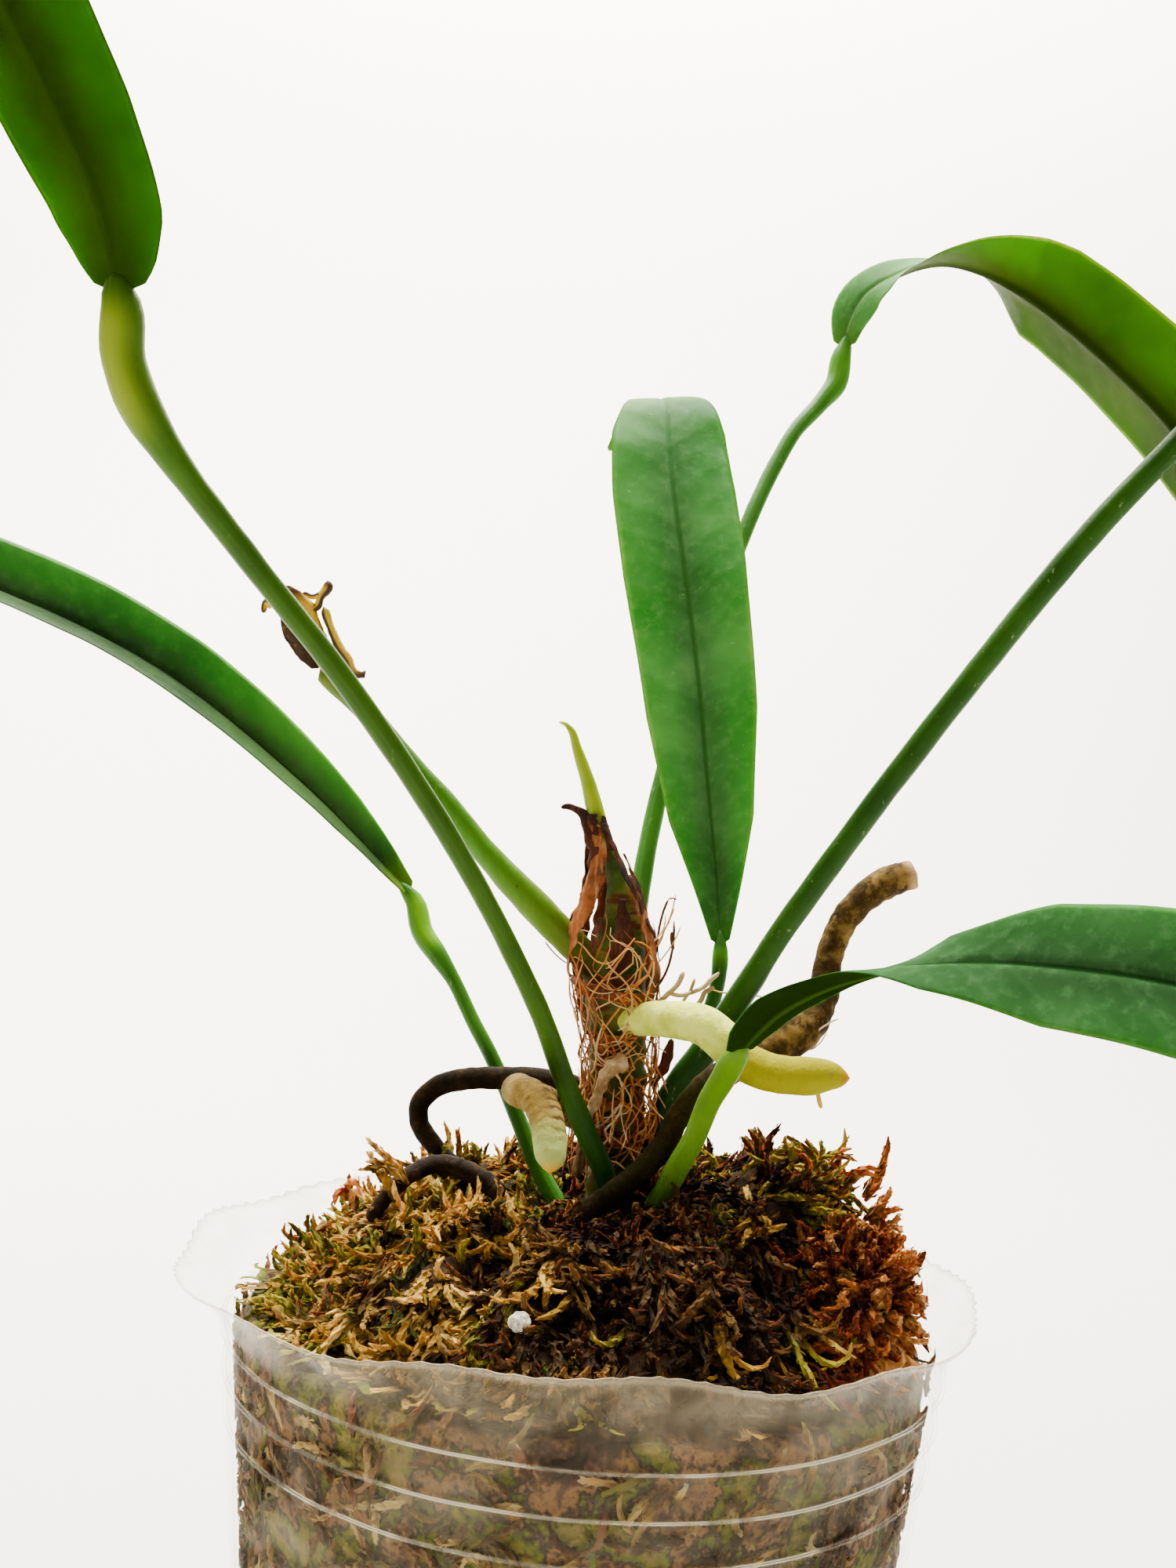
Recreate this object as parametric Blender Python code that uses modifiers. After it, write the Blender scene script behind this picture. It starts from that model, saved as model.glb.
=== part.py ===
"""A strap-leaved anthurium in a clear nursery pot packed with sphagnum moss.

World frame in metres: +Z up, +Y towards the back, the origin at the centre of the pot's flat base.
Tables of stations are in millimetres: a point on a centre line, then the radius there.
"""
import math

import bmesh
import bpy
import numpy as np
from mathutils import Vector, noise

MM = 0.001
GAP = 0.3                 # clearance between neighbouring pieces

POT_WALL = 0.8            # thickness of the clear plastic
POT_BASE_RADIUS = 37.0
POT_BAND_RADIUS = 45.0    # at the top ring
POT_TOP_RING = 74.0       # height of the top ring
POT_RING_STEP = 5.1       # from one ring down to the next
POT_RING_SWELL = 0.45
POT_RIM_RADIUS = 50.4
POT_RIM_HEIGHT = 82.4
POT_SEGMENTS = 60
FLARE_START = POT_TOP_RING + 1.5
POT_EDGE_BEVEL = 1.2      # where the wall turns under into the base
RING_HALF_HEIGHT = 1.2
DRAIN_HOLES = 8
DRAIN_CIRCLE = 25.0
DRAIN_RADIUS = 3.0

MOSS_CROWN = 90.5         # height of the mound at its middle
MOSS_EDGE = 75.5          # height where the moss meets the wall
MOSS_TUFT = 2.6           # swelling and sinking of the mound's tufts
MOSS_TUFT_SIZE = 9.0
MOSS_WALL_GAP = 0.45      # between the moss and the pot's inner face
# The mound from its middle outwards: radius, then height above or below the crown
MOSS_MOUND = [(0, 0), (6, 0.5), (12, 1.2), (18, 1.5), (24, 1.2), (29, 0), (33.5, -3), (37.5, -7), (41, -11.5)]

BLADE_THICKNESS = 0.6
SHEATH_THICKNESS = 0.4
SHEATH_TURN = 315.0       # degrees of the stem that the dry sheath still wraps
SHEATH_SPLIT = 120.0      # where its open edge stands, in degrees round the stem
# The sheath from its mouth down: radius, then height
SHEATH_OUTLINE = [
    (2.0, 137.2), (2.7, 133), (3.9, 129), (5.0, 124), (5.5, 119), (5.2, 114), (4.65, 110.5), (4.3, 108),
]
TUBE_SPACING = 4.5        # distance between the rings of a stalk or root

LEAF_GREEN = (0.030, 0.135, 0.022)
LEAF_OLIVE = (0.075, 0.150, 0.014)
STALK_GREEN = (0.055, 0.170, 0.020)
STALK_LIME = (0.230, 0.330, 0.025)
ROOT_PALE = (0.620, 0.560, 0.140)
ROOT_BROWN = (0.120, 0.065, 0.025)
ROOT_DARK = (0.035, 0.020, 0.012)

STEM = [
    (2.3, -0.8, 72, 3.0), (2.3, -1.4, 86, 3.0), (2, -2, 105, 2.7), (1.3, -2.1, 112, 3.0),
    (0.4, -2.4, 118, 3.2), (-0.6, -3, 127, 2.5), (-1.2, -3.5, 131, 1.8),
]
NEW_SHOOT = [
    (-1.3, -3.6, 131.4, 1.1), (-2.2, -4, 134.5, 1.0), (-3.4, -4, 138, 0.9), (-4.8, -4, 142.3, 0.75),
    (-7.1, -4, 147, 0.5), (-9.2, -4, 149.7, 0.3),
]

# Each leaf: its stalk, which starts inside the stem and ends in a thicker knee, then its blade
LEAVES = {
    "tall_left": {
        "stalk": [
            (2.2, -1.8, 84, 1.5), (2.2, -5.8, 89, 1.4), (1.8, -7.8, 92.5, 1.35), (1.2, -8.5, 95, 1.35),
            (-1.2, -9.3, 99.7, 1.35), (-4.3, -10.5, 105.9, 1.3), (-7.7, -13.5, 114.1, 1.25),
            (-12.6, -17, 123.4, 1.2), (-17.8, -21.5, 132.3, 1.2), (-23.2, -25.5, 140.4, 1.25),
            (-31.3, -31, 151.2, 1.3), (-41.8, -38, 163.5, 1.35), (-48.6, -44, 172, 1.65),
            (-50.8, -46, 175.3, 2.1), (-52.7, -48, 180.1, 2.2), (-52.8, -50, 185.3, 1.9),
        ],
        "midrib": [
            (-52.9, -50.2, 185.9), (-53.3, -51.8, 189.4), (-54.4, -54.5, 194.1), (-56.7, -57.5, 199.2),
            (-59.4, -60.8, 204.6), (-62.8, -64, 210.9), (-69, -69, 225), (-79, -73.5, 239.5),
            (-92, -77.5, 252), (-106, -80.5, 259.5), (-119, -82.5, 260), (-129, -84, 255.5),
            (-136, -84.5, 248.5),
        ],
        "half_width": [
            (0, 2.0), (0.02, 4.2), (0.05, 6.0), (0.12, 7.2), (0.25, 8.2), (0.5, 8.4), (0.8, 6),
            (0.93, 2.8), (1, 0.5),
        ],
        "facing": [(0, (0.25, 0.9, 0.35)), (0.4, (0.3, 0.75, 0.6)), (1, (-0.3, 0.25, 0.9))],
        "fold": [(0, 8), (1, 14)],
        "colour": LEAF_OLIVE,
        "stalk_colour": STALK_GREEN,
    },
    "low_left": {
        "stalk": [
            (2, -1, 83, 1.3), (-4.5, 2, 88.5, 1.2), (-8, 3.8, 93.5, 1.15), (-10.4, 5, 97.9, 1.1),
            (-14.7, 7, 105.4, 1.0), (-17.9, 8.5, 110.1, 1.0), (-20.9, 10, 114.8, 1.0),
            (-23.6, 11, 118.1, 1.4), (-25.7, 12, 120.5, 1.5), (-27.6, 13, 125, 1.2),
        ],
        "midrib": [
            (-27.9, 12.9, 125.5), (-34, 12, 131.3), (-39.8, 10.6, 136.6), (-46.2, 9, 141.8),
            (-53.8, 7.5, 147.4), (-61.2, 6, 152.1), (-70, 4, 156.4), (-82.2, 0.5, 160.9), (-97, -3, 165),
            (-112, -6, 166), (-126, -8, 162), (-138, -10.5, 154), (-146, -12, 145),
        ],
        "half_width": [
            (0, 1.3), (0.04, 2.6), (0.1, 4.2), (0.18, 5.6), (0.3, 6.7), (0.42, 7.2), (0.6, 7.2), (0.82, 4.8),
            (0.94, 2.2), (1, 0.5),
        ],
        "facing": [(0, (0.3, -0.66, 0.66)), (0.4, (0.35, -0.62, 0.7)), (1, (-0.5, -0.4, 0.75))],
        "fold": [(0, 32), (0.5, 32), (1, 20)],
        "colour": LEAF_GREEN,
        "stalk_colour": STALK_GREEN,
    },
    "centre": {
        "stalk": [
            (2.2, -1.2, 84, 1.4), (5.8, 3.6, 91, 1.3), (8.6, 6.8, 98, 1.2), (11.3, 8, 105.4, 1.1),
            (13.1, 9, 112.6, 1.05), (14.1, 9.5, 117.8, 1.0), (14.1, 10, 121.8, 1.0),
        ],
        "midrib": [
            (14.1, 10.1, 122.3), (13.1, 12, 130.1), (10.9, 15, 143.6), (8.5, 19, 158.6), (5.4, 24, 174.3),
            (2.9, 29, 186.8), (1.9, 33, 194), (1.4, 37, 199), (0.2, 43, 201.8), (-3, 50, 200.6),
            (-7.4, 57, 196),
        ],
        "half_width": [
            (0, 1.1), (0.07, 3.2), (0.16, 5.9), (0.3, 7.8), (0.5, 8.8), (0.62, 8.9), (0.72, 8.4), (0.79, 6.6),
            (0.85, 4.4), (0.93, 2.4), (1, 0.5),
        ],
        "facing": [
            (0, (0, -1, 0.2)), (0.45, (-0.15, -0.9, 0.3)), (0.7, (0, -0.5, 0.9)), (1, (-0.3, 0.6, 0.6)),
        ],
        "fold": [(0, 16), (0.5, 9), (0.7, 4), (1, 5)],
        "colour": LEAF_GREEN,
        "stalk_colour": STALK_GREEN,
    },
    "back_right": {
        "stalk": [
            (2.2, -1.6, 93, 1.6), (2.5, 3, 97.5, 1.45), (2.8, 5, 102, 1.35), (2.9, 6.3, 107, 1.35),
            (2.5, 12, 121.8, 1.35), (3.1, 16, 130.5, 1.35), (4.6, 21, 142.3, 1.25), (9.4, 30, 164, 1.2),
            (13.5, 36, 178.9, 1.2), (18.1, 42, 192, 1.2), (21.3, 45, 198.9, 1.2), (24.9, 48, 203.9, 1.35),
            (27.4, 50, 207.8, 1.7), (28.2, 51, 213.1, 1.45),
        ],
        "midrib": [
            (28.3, 51, 213.7), (29, 50.5, 218.2), (30.7, 50, 221.9), (35.2, 48, 225), (41.2, 44.5, 226.2),
            (46.9, 41, 224.2), (52.2, 38, 220.6), (58.2, 35, 215.6), (65.2, 31.5, 208.7), (73.2, 28, 199.9),
            (80.6, 24, 188.6), (86.8, 20, 175.4), (91.5, 16.5, 162), (94.5, 14, 149), (96, 12.5, 138),
        ],
        "half_width": [
            (0, 1.6), (0.04, 4.0), (0.1, 6.0), (0.15, 5.6), (0.22, 8.0), (0.3, 10.0), (0.5, 10.8),
            (0.75, 8.8), (0.92, 4.0), (1, 0.5),
        ],
        "facing": [
            (0, (-0.5, -0.85, 0.2)), (0.06, (-0.45, -0.75, 0.5)), (0.155, (-0.1, -0.31, 1)),
            (0.27, (0.45, 0.55, 0.75)), (1, (0.85, 0.5, 0.25)),
        ],
        "fold": [(0, 12), (0.155, 5), (0.3, 22), (1, 22)],
        "colour": LEAF_OLIVE,
        "stalk_colour": STALK_GREEN,
    },
    "right": {
        "stalk": [
            (2.2, -1.8, 88, 2.1), (4.9, -0.9, 93.5, 2.2), (7.3, -1, 99.6, 2.1), (9.2, -1.5, 104.4, 2.0),
            (12.9, -2.5, 111.3, 1.8), (17.3, -3.5, 119.6, 1.6), (19.9, -4.5, 124.9, 1.5),
            (25.8, -6, 135.2, 1.5), (37.7, -9.5, 154.8, 1.5), (53.8, -13.5, 178.9, 1.5),
            (60.7, -15, 187.6, 1.45), (69.5, -17, 199.2, 1.5), (72.8, -17.6, 203.4, 1.9),
            (75, -18, 209, 1.7),
        ],
        "midrib": [
            (75.2, -18.1, 209.6), (78, -19, 215), (83.5, -20.5, 221), (92, -22.5, 226.5), (103, -25, 229.5),
            (114, -27, 228.5), (125, -29, 223.5), (135, -31, 215), (143, -32.5, 203.5), (148, -33.5, 190),
            (150, -34, 178),
        ],
        "half_width": [
            (0, 1.7), (0.05, 4.2), (0.15, 6.8), (0.35, 8), (0.6, 7.8), (0.82, 5.6), (0.94, 2.6), (1, 0.5),
        ],
        "facing": [(0, (-0.8, -0.1, 0.5)), (0.35, (-0.1, -0.2, 1)), (1, (0.9, -0.25, 0.2))],
        "fold": [(0, 20), (1, 20)],
        "colour": LEAF_GREEN,
        "stalk_colour": STALK_GREEN,
    },
    "front_right": {
        "stalk": [
            (2.2, -1.4, 76, 1.7), (4.6, -5.5, 84, 1.6), (7, -9.5, 90.5, 1.5), (8.6, -12, 95, 1.4),
            (9.8, -14, 98.4, 1.4), (11.2, -16, 102.2, 1.35), (12.5, -18.5, 107.1, 1.4),
            (13.6, -21, 110.2, 1.45), (14.6, -24, 113.2, 1.4),
        ],
        "midrib": [
            (14.7, -24.4, 113.6), (16.2, -28, 116.7), (18.2, -32, 119.8), (20.6, -36, 122.3),
            (23.2, -40, 124.4), (26, -43.5, 126), (28.8, -46.5, 127.2), (32.6, -49.5, 128.1),
            (36.6, -52, 128.7), (43, -55, 129), (51, -57.5, 128.6), (63, -60, 126), (75, -61.5, 120),
            (86, -62.5, 111), (95, -63, 100), (100, -64, 88),
        ],
        "half_width": [
            (0, 1.5), (0.04, 3.2), (0.1, 4.1), (0.17, 3.9), (0.23, 3.8), (0.29, 5.0), (0.36, 6.6),
            (0.46, 7.8), (0.62, 8.2), (0.82, 5.6), (0.94, 2.4), (1, 0.5),
        ],
        "facing": [
            (0, (-0.45, 0.85, 0.3)), (0.1, (-0.4, 0.75, 0.5)), (0.2, (-0.15, 0.2, 1)),
            (0.27, (0, -0.6, 0.8)), (0.36, (0.05, -0.85, 0.5)), (0.6, (0.1, -0.85, 0.5)),
            (1, (0.75, -0.5, 0.4)),
        ],
        "fold": [(0, 10), (0.2, 4), (0.45, 8), (1, 14)],
        "colour": LEAF_GREEN,
        "stalk_colour": STALK_LIME,
    },
}

BROKEN_STALK = [
    (1, -2.2, 113, 1.8), (-0.8, -2.4, 117, 1.85), (-3, -2.8, 120.2, 1.8), (-5.7, -3.4, 122.7, 1.8),
    (-8.9, -4.2, 125.5, 1.85), (-12.5, -5, 128.8, 1.7), (-16.4, -6, 132.5, 1.45), (-21.4, -7, 137.9, 1.3),
    (-27, -7.8, 143.4, 1.2), (-32.2, -8.6, 148.6, 1.15), (-35.6, -9, 151.3, 1.15), (-38.4, -9.4, 153.6, 1.1),
]
WITHERED_BLADE = {
    "midrib": [(-38.7, -9.5, 153.9), (-40.5, -10, 156.9), (-41.7, -10.4, 159.6), (-43.2, -11, 163.2)],
    "half_width": [(0, 1.1), (0.25, 2.6), (0.7, 2.5), (1, 0.6)],
    "facing": [(0, (0.4, -0.75, 0.4)), (1, (0.3, -0.8, 0.4))],
    "fold": [(0, 25), (1, 25)],
}
DRIED_SCALE = {
    "midrib": [(1.6, -6.4, 105.2), (1.0, -6.3, 103.6), (0.4, -6.3, 101.8), (0.1, -6.4, 100)],
    "half_width": [(0, 0.8), (0.5, 1.7), (1, 0.6)],
    "facing": [(0, (0, 1, 0.1)), (1, (0, 1, 0))],
    "fold": [(0, 35), (1, 35)],
}

ROOTS = {
    "root_pale_right": {
        "path": [
            (0.8, -2, 112.6, 2.0), (4.5, -6.5, 114.1, 2.1), (8, -9.8, 114.8, 2.3),
            (11.6, -12, 114.6, 2.4), (14.2, -13, 113, 2.4), (16, -13.6, 111.4, 2.35),
            (18.6, -14.3, 110.4, 2.3), (21.4, -14.8, 110.1, 2.25), (24.8, -15.2, 110.4, 2.15),
            (26.6, -15.5, 110.6, 1.7), (28, -15.5, 110.5, 1.1), (28.8, -15.5, 110.5, 0.4),
        ],
        "colour": ROOT_PALE, "on_stem": True, "in_moss": False,
    },
    "root_pale_left": {
        "path": [
            (1.8, -2, 98.5, 1.7), (-4, -5.4, 101.8, 1.8), (-7.6, -8.2, 103.6, 1.9), (-9.9, -11.5, 105, 2),
            (-9.5, -15, 105.6, 2), (-7.1, -19, 105.2, 2), (-5.8, -21.5, 103.2, 2), (-5.3, -23, 101, 1.9),
            (-5.1, -24, 99.2, 1.3), (-5.1, -24.2, 98.4, 0.4),
        ],
        "colour": ROOT_PALE, "on_stem": True, "in_moss": False,
    },
    "root_brown_loop": {
        "path": [
            (1.8, -2, 103.2, 1.3), (-3.3, -0.5, 104, 1.4), (-7.8, 0.3, 104.4, 1.45), (-12.9, 1, 104, 1.45),
            (-17.9, 2, 103.2, 1.4), (-21.5, 3, 101.6, 1.35), (-23.3, 3, 99.4, 1.3), (-23.2, 3, 97.2, 1.25),
            (-21.1, 2, 94.7, 1.2), (-17.4, 1, 91.6, 1.2), (-13.5, 0, 88.6, 1.1),
        ],
        "colour": ROOT_BROWN, "on_stem": True, "in_moss": True,
    },
    "root_brown_long": {
        "path": [
            (-4.5, -13.4, 88.5, 1.3), (0.4, -13, 92.5, 1.4), (3.9, -12.5, 95.4, 1.4),
            (7.8, -11.5, 99.8, 1.45), (9.6, -10.5, 103.7, 1.45), (12.4, -9.5, 107.1, 1.6),
            (16.6, -8, 109.8, 1.9), (20.8, -6.5, 111.9, 2.2), (24.4, -4.5, 114.3, 2.3),
            (26.4, -2.5, 118, 2.0), (27, -1, 122.3, 1.75), (28.2, 0, 126.6, 1.75),
            (30.6, 0.5, 130.3, 1.9), (34, 1, 133, 2.0), (37.6, 1, 134.4, 1.8),
        ],
        "colour": ROOT_BROWN, "on_stem": False, "in_moss": True,
    },
    "root_black_left": {
        "path": [
            (-11, -5, 90.5, 1.2), (-15, -3.5, 92.6, 1.2), (-19.9, -3.2, 93.3, 1.2), (-22.7, -5, 92.3, 1.1),
            (-25, -7, 90.2, 1.0), (-27, -9, 87, 0.9),
        ],
        "colour": ROOT_DARK, "on_stem": False, "in_moss": True,
    },
}

MOSS_WAD_CENTRE = (30, -20.5, 87.5)
MOSS_WAD_RADII = (9.5, 9, 8)
PERLITE_CENTRE = (-6.3, -35, 85.6)
PERLITE_RADIUS = 1.5


def clear_scene():
    for old in list(bpy.data.objects):
        bpy.data.objects.remove(old, do_unlink=True)


def new_collection(name):
    collection = bpy.data.collections.new(name)
    bpy.context.scene.collection.children.link(collection)
    return collection


def finish(obj, name, colour, roughness, home, crease=40):
    """Name the object, give it its own material, shade it smooth and file it in its collection."""
    obj.name = name
    obj.data.name = name
    material = bpy.data.materials.new(name)
    material.use_nodes = True
    shader = material.node_tree.nodes["Principled BSDF"]
    shader.inputs["Base Color"].default_value = (*colour, 1)
    shader.inputs["Roughness"].default_value = roughness
    shader.inputs["Metallic"].default_value = 0
    obj.data.materials.clear()
    obj.data.materials.append(material)
    obj.data.shade_smooth()
    obj.data.set_sharp_from_angle(angle=math.radians(crease))
    for old in list(obj.users_collection):
        old.objects.unlink(obj)
    home.objects.link(obj)
    return obj


def as_cutter(obj, cutters):
    obj.hide_render = True
    obj.display_type = "WIRE"
    for old in list(obj.users_collection):
        old.objects.unlink(obj)
    cutters.objects.link(obj)
    return obj


def cut(obj, cutter):
    boolean = obj.modifiers.new("cut " + cutter.name, "BOOLEAN")
    boolean.operation = "DIFFERENCE"
    boolean.solver = "EXACT"
    boolean.object = cutter


def blend(table, share):
    """Read a table of (share of the length, value or vector) pairs at one share."""
    shares = [row[0] for row in table]
    values = np.array([row[1] for row in table], float).reshape(len(table), -1)
    return np.array([np.interp(share, shares, column) for column in values.T])


def path_at(stations, share):
    """The values at a share of the way along a smooth curve through the stations."""
    rows = np.array(stations, float)
    steps = np.linalg.norm(np.diff(rows[:, :3], axis=0), axis=1)
    knots = np.concatenate(([0], np.cumsum(steps)))
    slopes = np.gradient(rows, knots, axis=0)
    at = min(max(share, 0), 1) * knots[-1]
    span = min(max(int(np.searchsorted(knots, at)) - 1, 0), len(rows) - 2)
    width = knots[span + 1] - knots[span]
    t = (at - knots[span]) / width
    hold = 2 * t**3 - 3 * t**2 + 1
    rise = t**3 - 2 * t**2 + t
    fall = t**3 - t**2
    return (hold * rows[span] + rise * width * slopes[span]
            + (1 - hold) * rows[span + 1] + fall * width * slopes[span + 1])


def path_length(stations):
    points = np.array(stations, float)[:, :3]
    return float(np.linalg.norm(np.diff(points, axis=0), axis=1).sum())


def tube(name, stations, swell=0.0):
    """A round stalk or root as a welded mesh; swell makes it fatter and longer, for a cutter."""
    rows = np.array(stations, float)
    if swell:
        for end, inner in ((0, 1), (-1, -2)):
            outward = rows[end, :3] - rows[inner, :3]
            rows[end, :3] += swell * outward / np.linalg.norm(outward)
        rows[:, 3] += swell
    count = max(len(rows), round(path_length(rows) / TUBE_SPACING))
    curve = bpy.data.curves.new(name, "CURVE")
    curve.dimensions = "3D"
    curve.bevel_depth = MM
    curve.bevel_resolution = 2
    curve.use_fill_caps = True
    spline = curve.splines.new("POLY")
    spline.points.add(count - 1)
    for index, point in enumerate(spline.points):
        x, y, z, radius = path_at(rows, index / (count - 1))
        point.co = (x * MM, y * MM, z * MM, 1)
        point.radius = radius
    guide = bpy.data.objects.new(name, curve)
    bpy.context.scene.collection.objects.link(guide)
    evaluated = guide.evaluated_get(bpy.context.evaluated_depsgraph_get())
    mesh = bpy.data.meshes.new_from_object(evaluated)
    place = guide.matrix_world.copy()
    bpy.data.objects.remove(guide)
    weld(mesh)
    obj = bpy.data.objects.new(name, mesh)
    obj.matrix_world = place
    bpy.context.scene.collection.objects.link(obj)
    return obj


def weld(mesh):
    work = bmesh.new()
    work.from_mesh(mesh)
    bmesh.ops.remove_doubles(work, verts=work.verts, dist=0.01 * MM)
    bmesh.ops.recalc_face_normals(work, faces=work.faces)
    work.to_mesh(mesh)
    work.free()


def blade_point(blade, share, across):
    """A point of the blade: share runs from the stalk to the tip, across from -1 to 1."""
    fold = math.radians(blend(blade["fold"], share)[0])
    centre = path_at(blade["midrib"], share)
    ahead = Vector(path_at(blade["midrib"], share + 0.01) - path_at(blade["midrib"], share - 0.01))
    ahead.normalize()
    face = Vector(blend(blade["facing"], share))
    face = (face - face.dot(ahead) * ahead).normalized()
    side = face.cross(ahead)
    reach = across * blend(blade["half_width"], share)[0]
    rise = abs(reach) * math.sin(fold)
    return (Vector(centre) + side * reach * math.cos(fold) + face * rise) * MM


def make_blade(name, blade, colour, home, thickness=BLADE_THICKNESS, rows=24, columns=6):
    """A folded strap: a flat grid wrapped along the midrib, then thickened.

    Each half of the blade rises from the midrib by the fold's angle, in degrees.
    """
    bpy.ops.mesh.primitive_grid_add(x_subdivisions=rows, y_subdivisions=columns, size=1)
    obj = bpy.context.object
    for vertex in obj.data.vertices:
        share = vertex.co.x + 0.5
        across = vertex.co.y * 2
        vertex.co = blade_point(blade, share, across)
    shell = obj.modifiers.new("thickness", "SOLIDIFY")
    shell.thickness = thickness * MM
    shell.offset = 0
    return finish(obj, name, colour, 0.45, home)


def turned(name, profile, segments, angle=360):
    """A profile of (radius, height) pairs, from the top down its outer side, turned about Z."""
    mesh = bpy.data.meshes.new(name)
    points = [(radius * MM, 0, height * MM) for radius, height in profile]
    mesh.from_pydata(points, [(i, i + 1) for i in range(len(points) - 1)], [])
    guide = bpy.data.objects.new(name, mesh)
    bpy.context.scene.collection.objects.link(guide)
    screw = guide.modifiers.new("turn", "SCREW")
    screw.angle = math.radians(angle)
    screw.steps = segments
    screw.render_steps = segments
    screw.use_merge_vertices = True
    screw.merge_threshold = 0.01 * MM
    evaluated = guide.evaluated_get(bpy.context.evaluated_depsgraph_get())
    surface = bpy.data.meshes.new_from_object(evaluated)
    bpy.data.objects.remove(guide)
    obj = bpy.data.objects.new(name, surface)
    bpy.context.scene.collection.objects.link(obj)
    return obj


def wall_radius(height):
    """The pot's outer radius below its flared rim."""
    return POT_BASE_RADIUS + (POT_BAND_RADIUS - POT_BASE_RADIUS) * height / POT_TOP_RING


def make_pot(home, cutters):
    """The thin clear pot: a turned skin with three rings, its rim drawn out into waves."""
    profile = [(POT_RIM_RADIUS, POT_RIM_HEIGHT), (POT_RIM_RADIUS - 1.7, POT_RIM_HEIGHT - 1.0)]
    profile += [(POT_BAND_RADIUS + 1.2, FLARE_START + 2.2), (wall_radius(FLARE_START), FLARE_START)]
    for ring in range(3):
        height = POT_TOP_RING - ring * POT_RING_STEP
        profile += [
            (wall_radius(height) + POT_RING_SWELL, height),
            (wall_radius(height - RING_HALF_HEIGHT), height - RING_HALF_HEIGHT),
        ]
    profile += [(wall_radius(height), height) for height in (44, 25, 6, 1.0)]
    profile += [(POT_BASE_RADIUS - POT_EDGE_BEVEL, 0), (POT_BASE_RADIUS * 0.5, 0), (0, 0)]
    pot = turned("nursery_pot", profile, POT_SEGMENTS)
    for vertex in pot.data.vertices:
        radius = math.hypot(vertex.co.x, vertex.co.y)
        lift = (vertex.co.z / MM - FLARE_START) / (POT_RIM_HEIGHT - FLARE_START)
        if lift > 0:
            turn = math.atan2(vertex.co.y, vertex.co.x)
            spread = -1.3 * math.cos(turn) + 0.5 * math.sin(5 * turn) + 0.35 * math.sin(11 * turn + 1)
            raised = (-1.4 * math.cos(2 * turn) - math.sin(turn) + 0.6 * math.cos(turn)
                      + 0.4 * math.sin(7 * turn))
            vertex.co.x *= 1 + lift * spread * MM / radius
            vertex.co.y *= 1 + lift * spread * MM / radius
            vertex.co.z += lift * raised * MM
    skin = pot.modifiers.new("wall", "SOLIDIFY")
    skin.thickness = POT_WALL * MM
    skin.offset = -1
    skin.use_even_offset = True
    for hole in range(DRAIN_HOLES):
        turn = 2 * math.pi * hole / DRAIN_HOLES
        place = (DRAIN_CIRCLE * MM * math.cos(turn), DRAIN_CIRCLE * MM * math.sin(turn), 0)
        bpy.ops.mesh.primitive_cylinder_add(vertices=16, radius=DRAIN_RADIUS * MM, depth=6 * MM,
                                            location=place)
        bpy.context.object.name = f"drain_{hole}"
        cut(pot, as_cutter(bpy.context.object, cutters))
    return finish(pot, "nursery_pot", (0.72, 0.74, 0.72), 0.15, home)


def moss_height(x, y):
    """Lift of the mound at a place, with the right side higher and small tufts over all."""
    tuft = MOSS_TUFT * noise.noise(Vector((x, y, 0)) / MOSS_TUFT_SIZE)
    ridge = 6.0 * math.exp(-((x - 22) ** 2 + (y - 4) ** 2) / 160)
    hollow = -2.0 * math.exp(-((x - 2) ** 2 + (y + 3) ** 2) / 90)
    return tuft + ridge + hollow


def make_moss(home, cutters, sockets):
    """The moss packed in the pot and heaped over its edge, with a socket for each stalk and root."""
    inner = POT_WALL + MOSS_WALL_GAP
    floor = POT_WALL + GAP
    profile = [(radius, MOSS_CROWN + lift) for radius, lift in MOSS_MOUND]
    profile += [(wall_radius(height) - inner, height) for height in (MOSS_EDGE, 60, 40, 20, 4)]
    profile += [(POT_BASE_RADIUS - inner - 1.8, floor), (POT_BASE_RADIUS * 0.5, floor), (0, floor)]
    moss = turned("moss_plug", profile, 48)
    for vertex in moss.data.vertices:
        radius = math.hypot(vertex.co.x, vertex.co.y) / MM
        if vertex.co.z / MM > MOSS_EDGE + 1:
            share = min(1, (41.5 - radius) / 8)
            vertex.co.z += share * moss_height(vertex.co.x / MM, vertex.co.y / MM) * MM
    finish(moss, "moss_plug", (0.16, 0.13, 0.035), 0.95, home, crease=70)
    for socket in sockets:
        cut(moss, socket)
    return moss


def make_ball(name, centre, radii, bump, segments, rings):
    """A rounded lump with an uneven skin."""
    bpy.ops.mesh.primitive_uv_sphere_add(segments=segments, ring_count=rings, radius=1)
    obj = bpy.context.object
    obj.name = name
    for vertex in obj.data.vertices:
        swell = 1 + bump * noise.noise(vertex.co * 1.7)
        vertex.co = Vector([(c + r * swell * v) * MM for c, r, v in zip(centre, radii, vertex.co)])
    return obj


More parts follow.
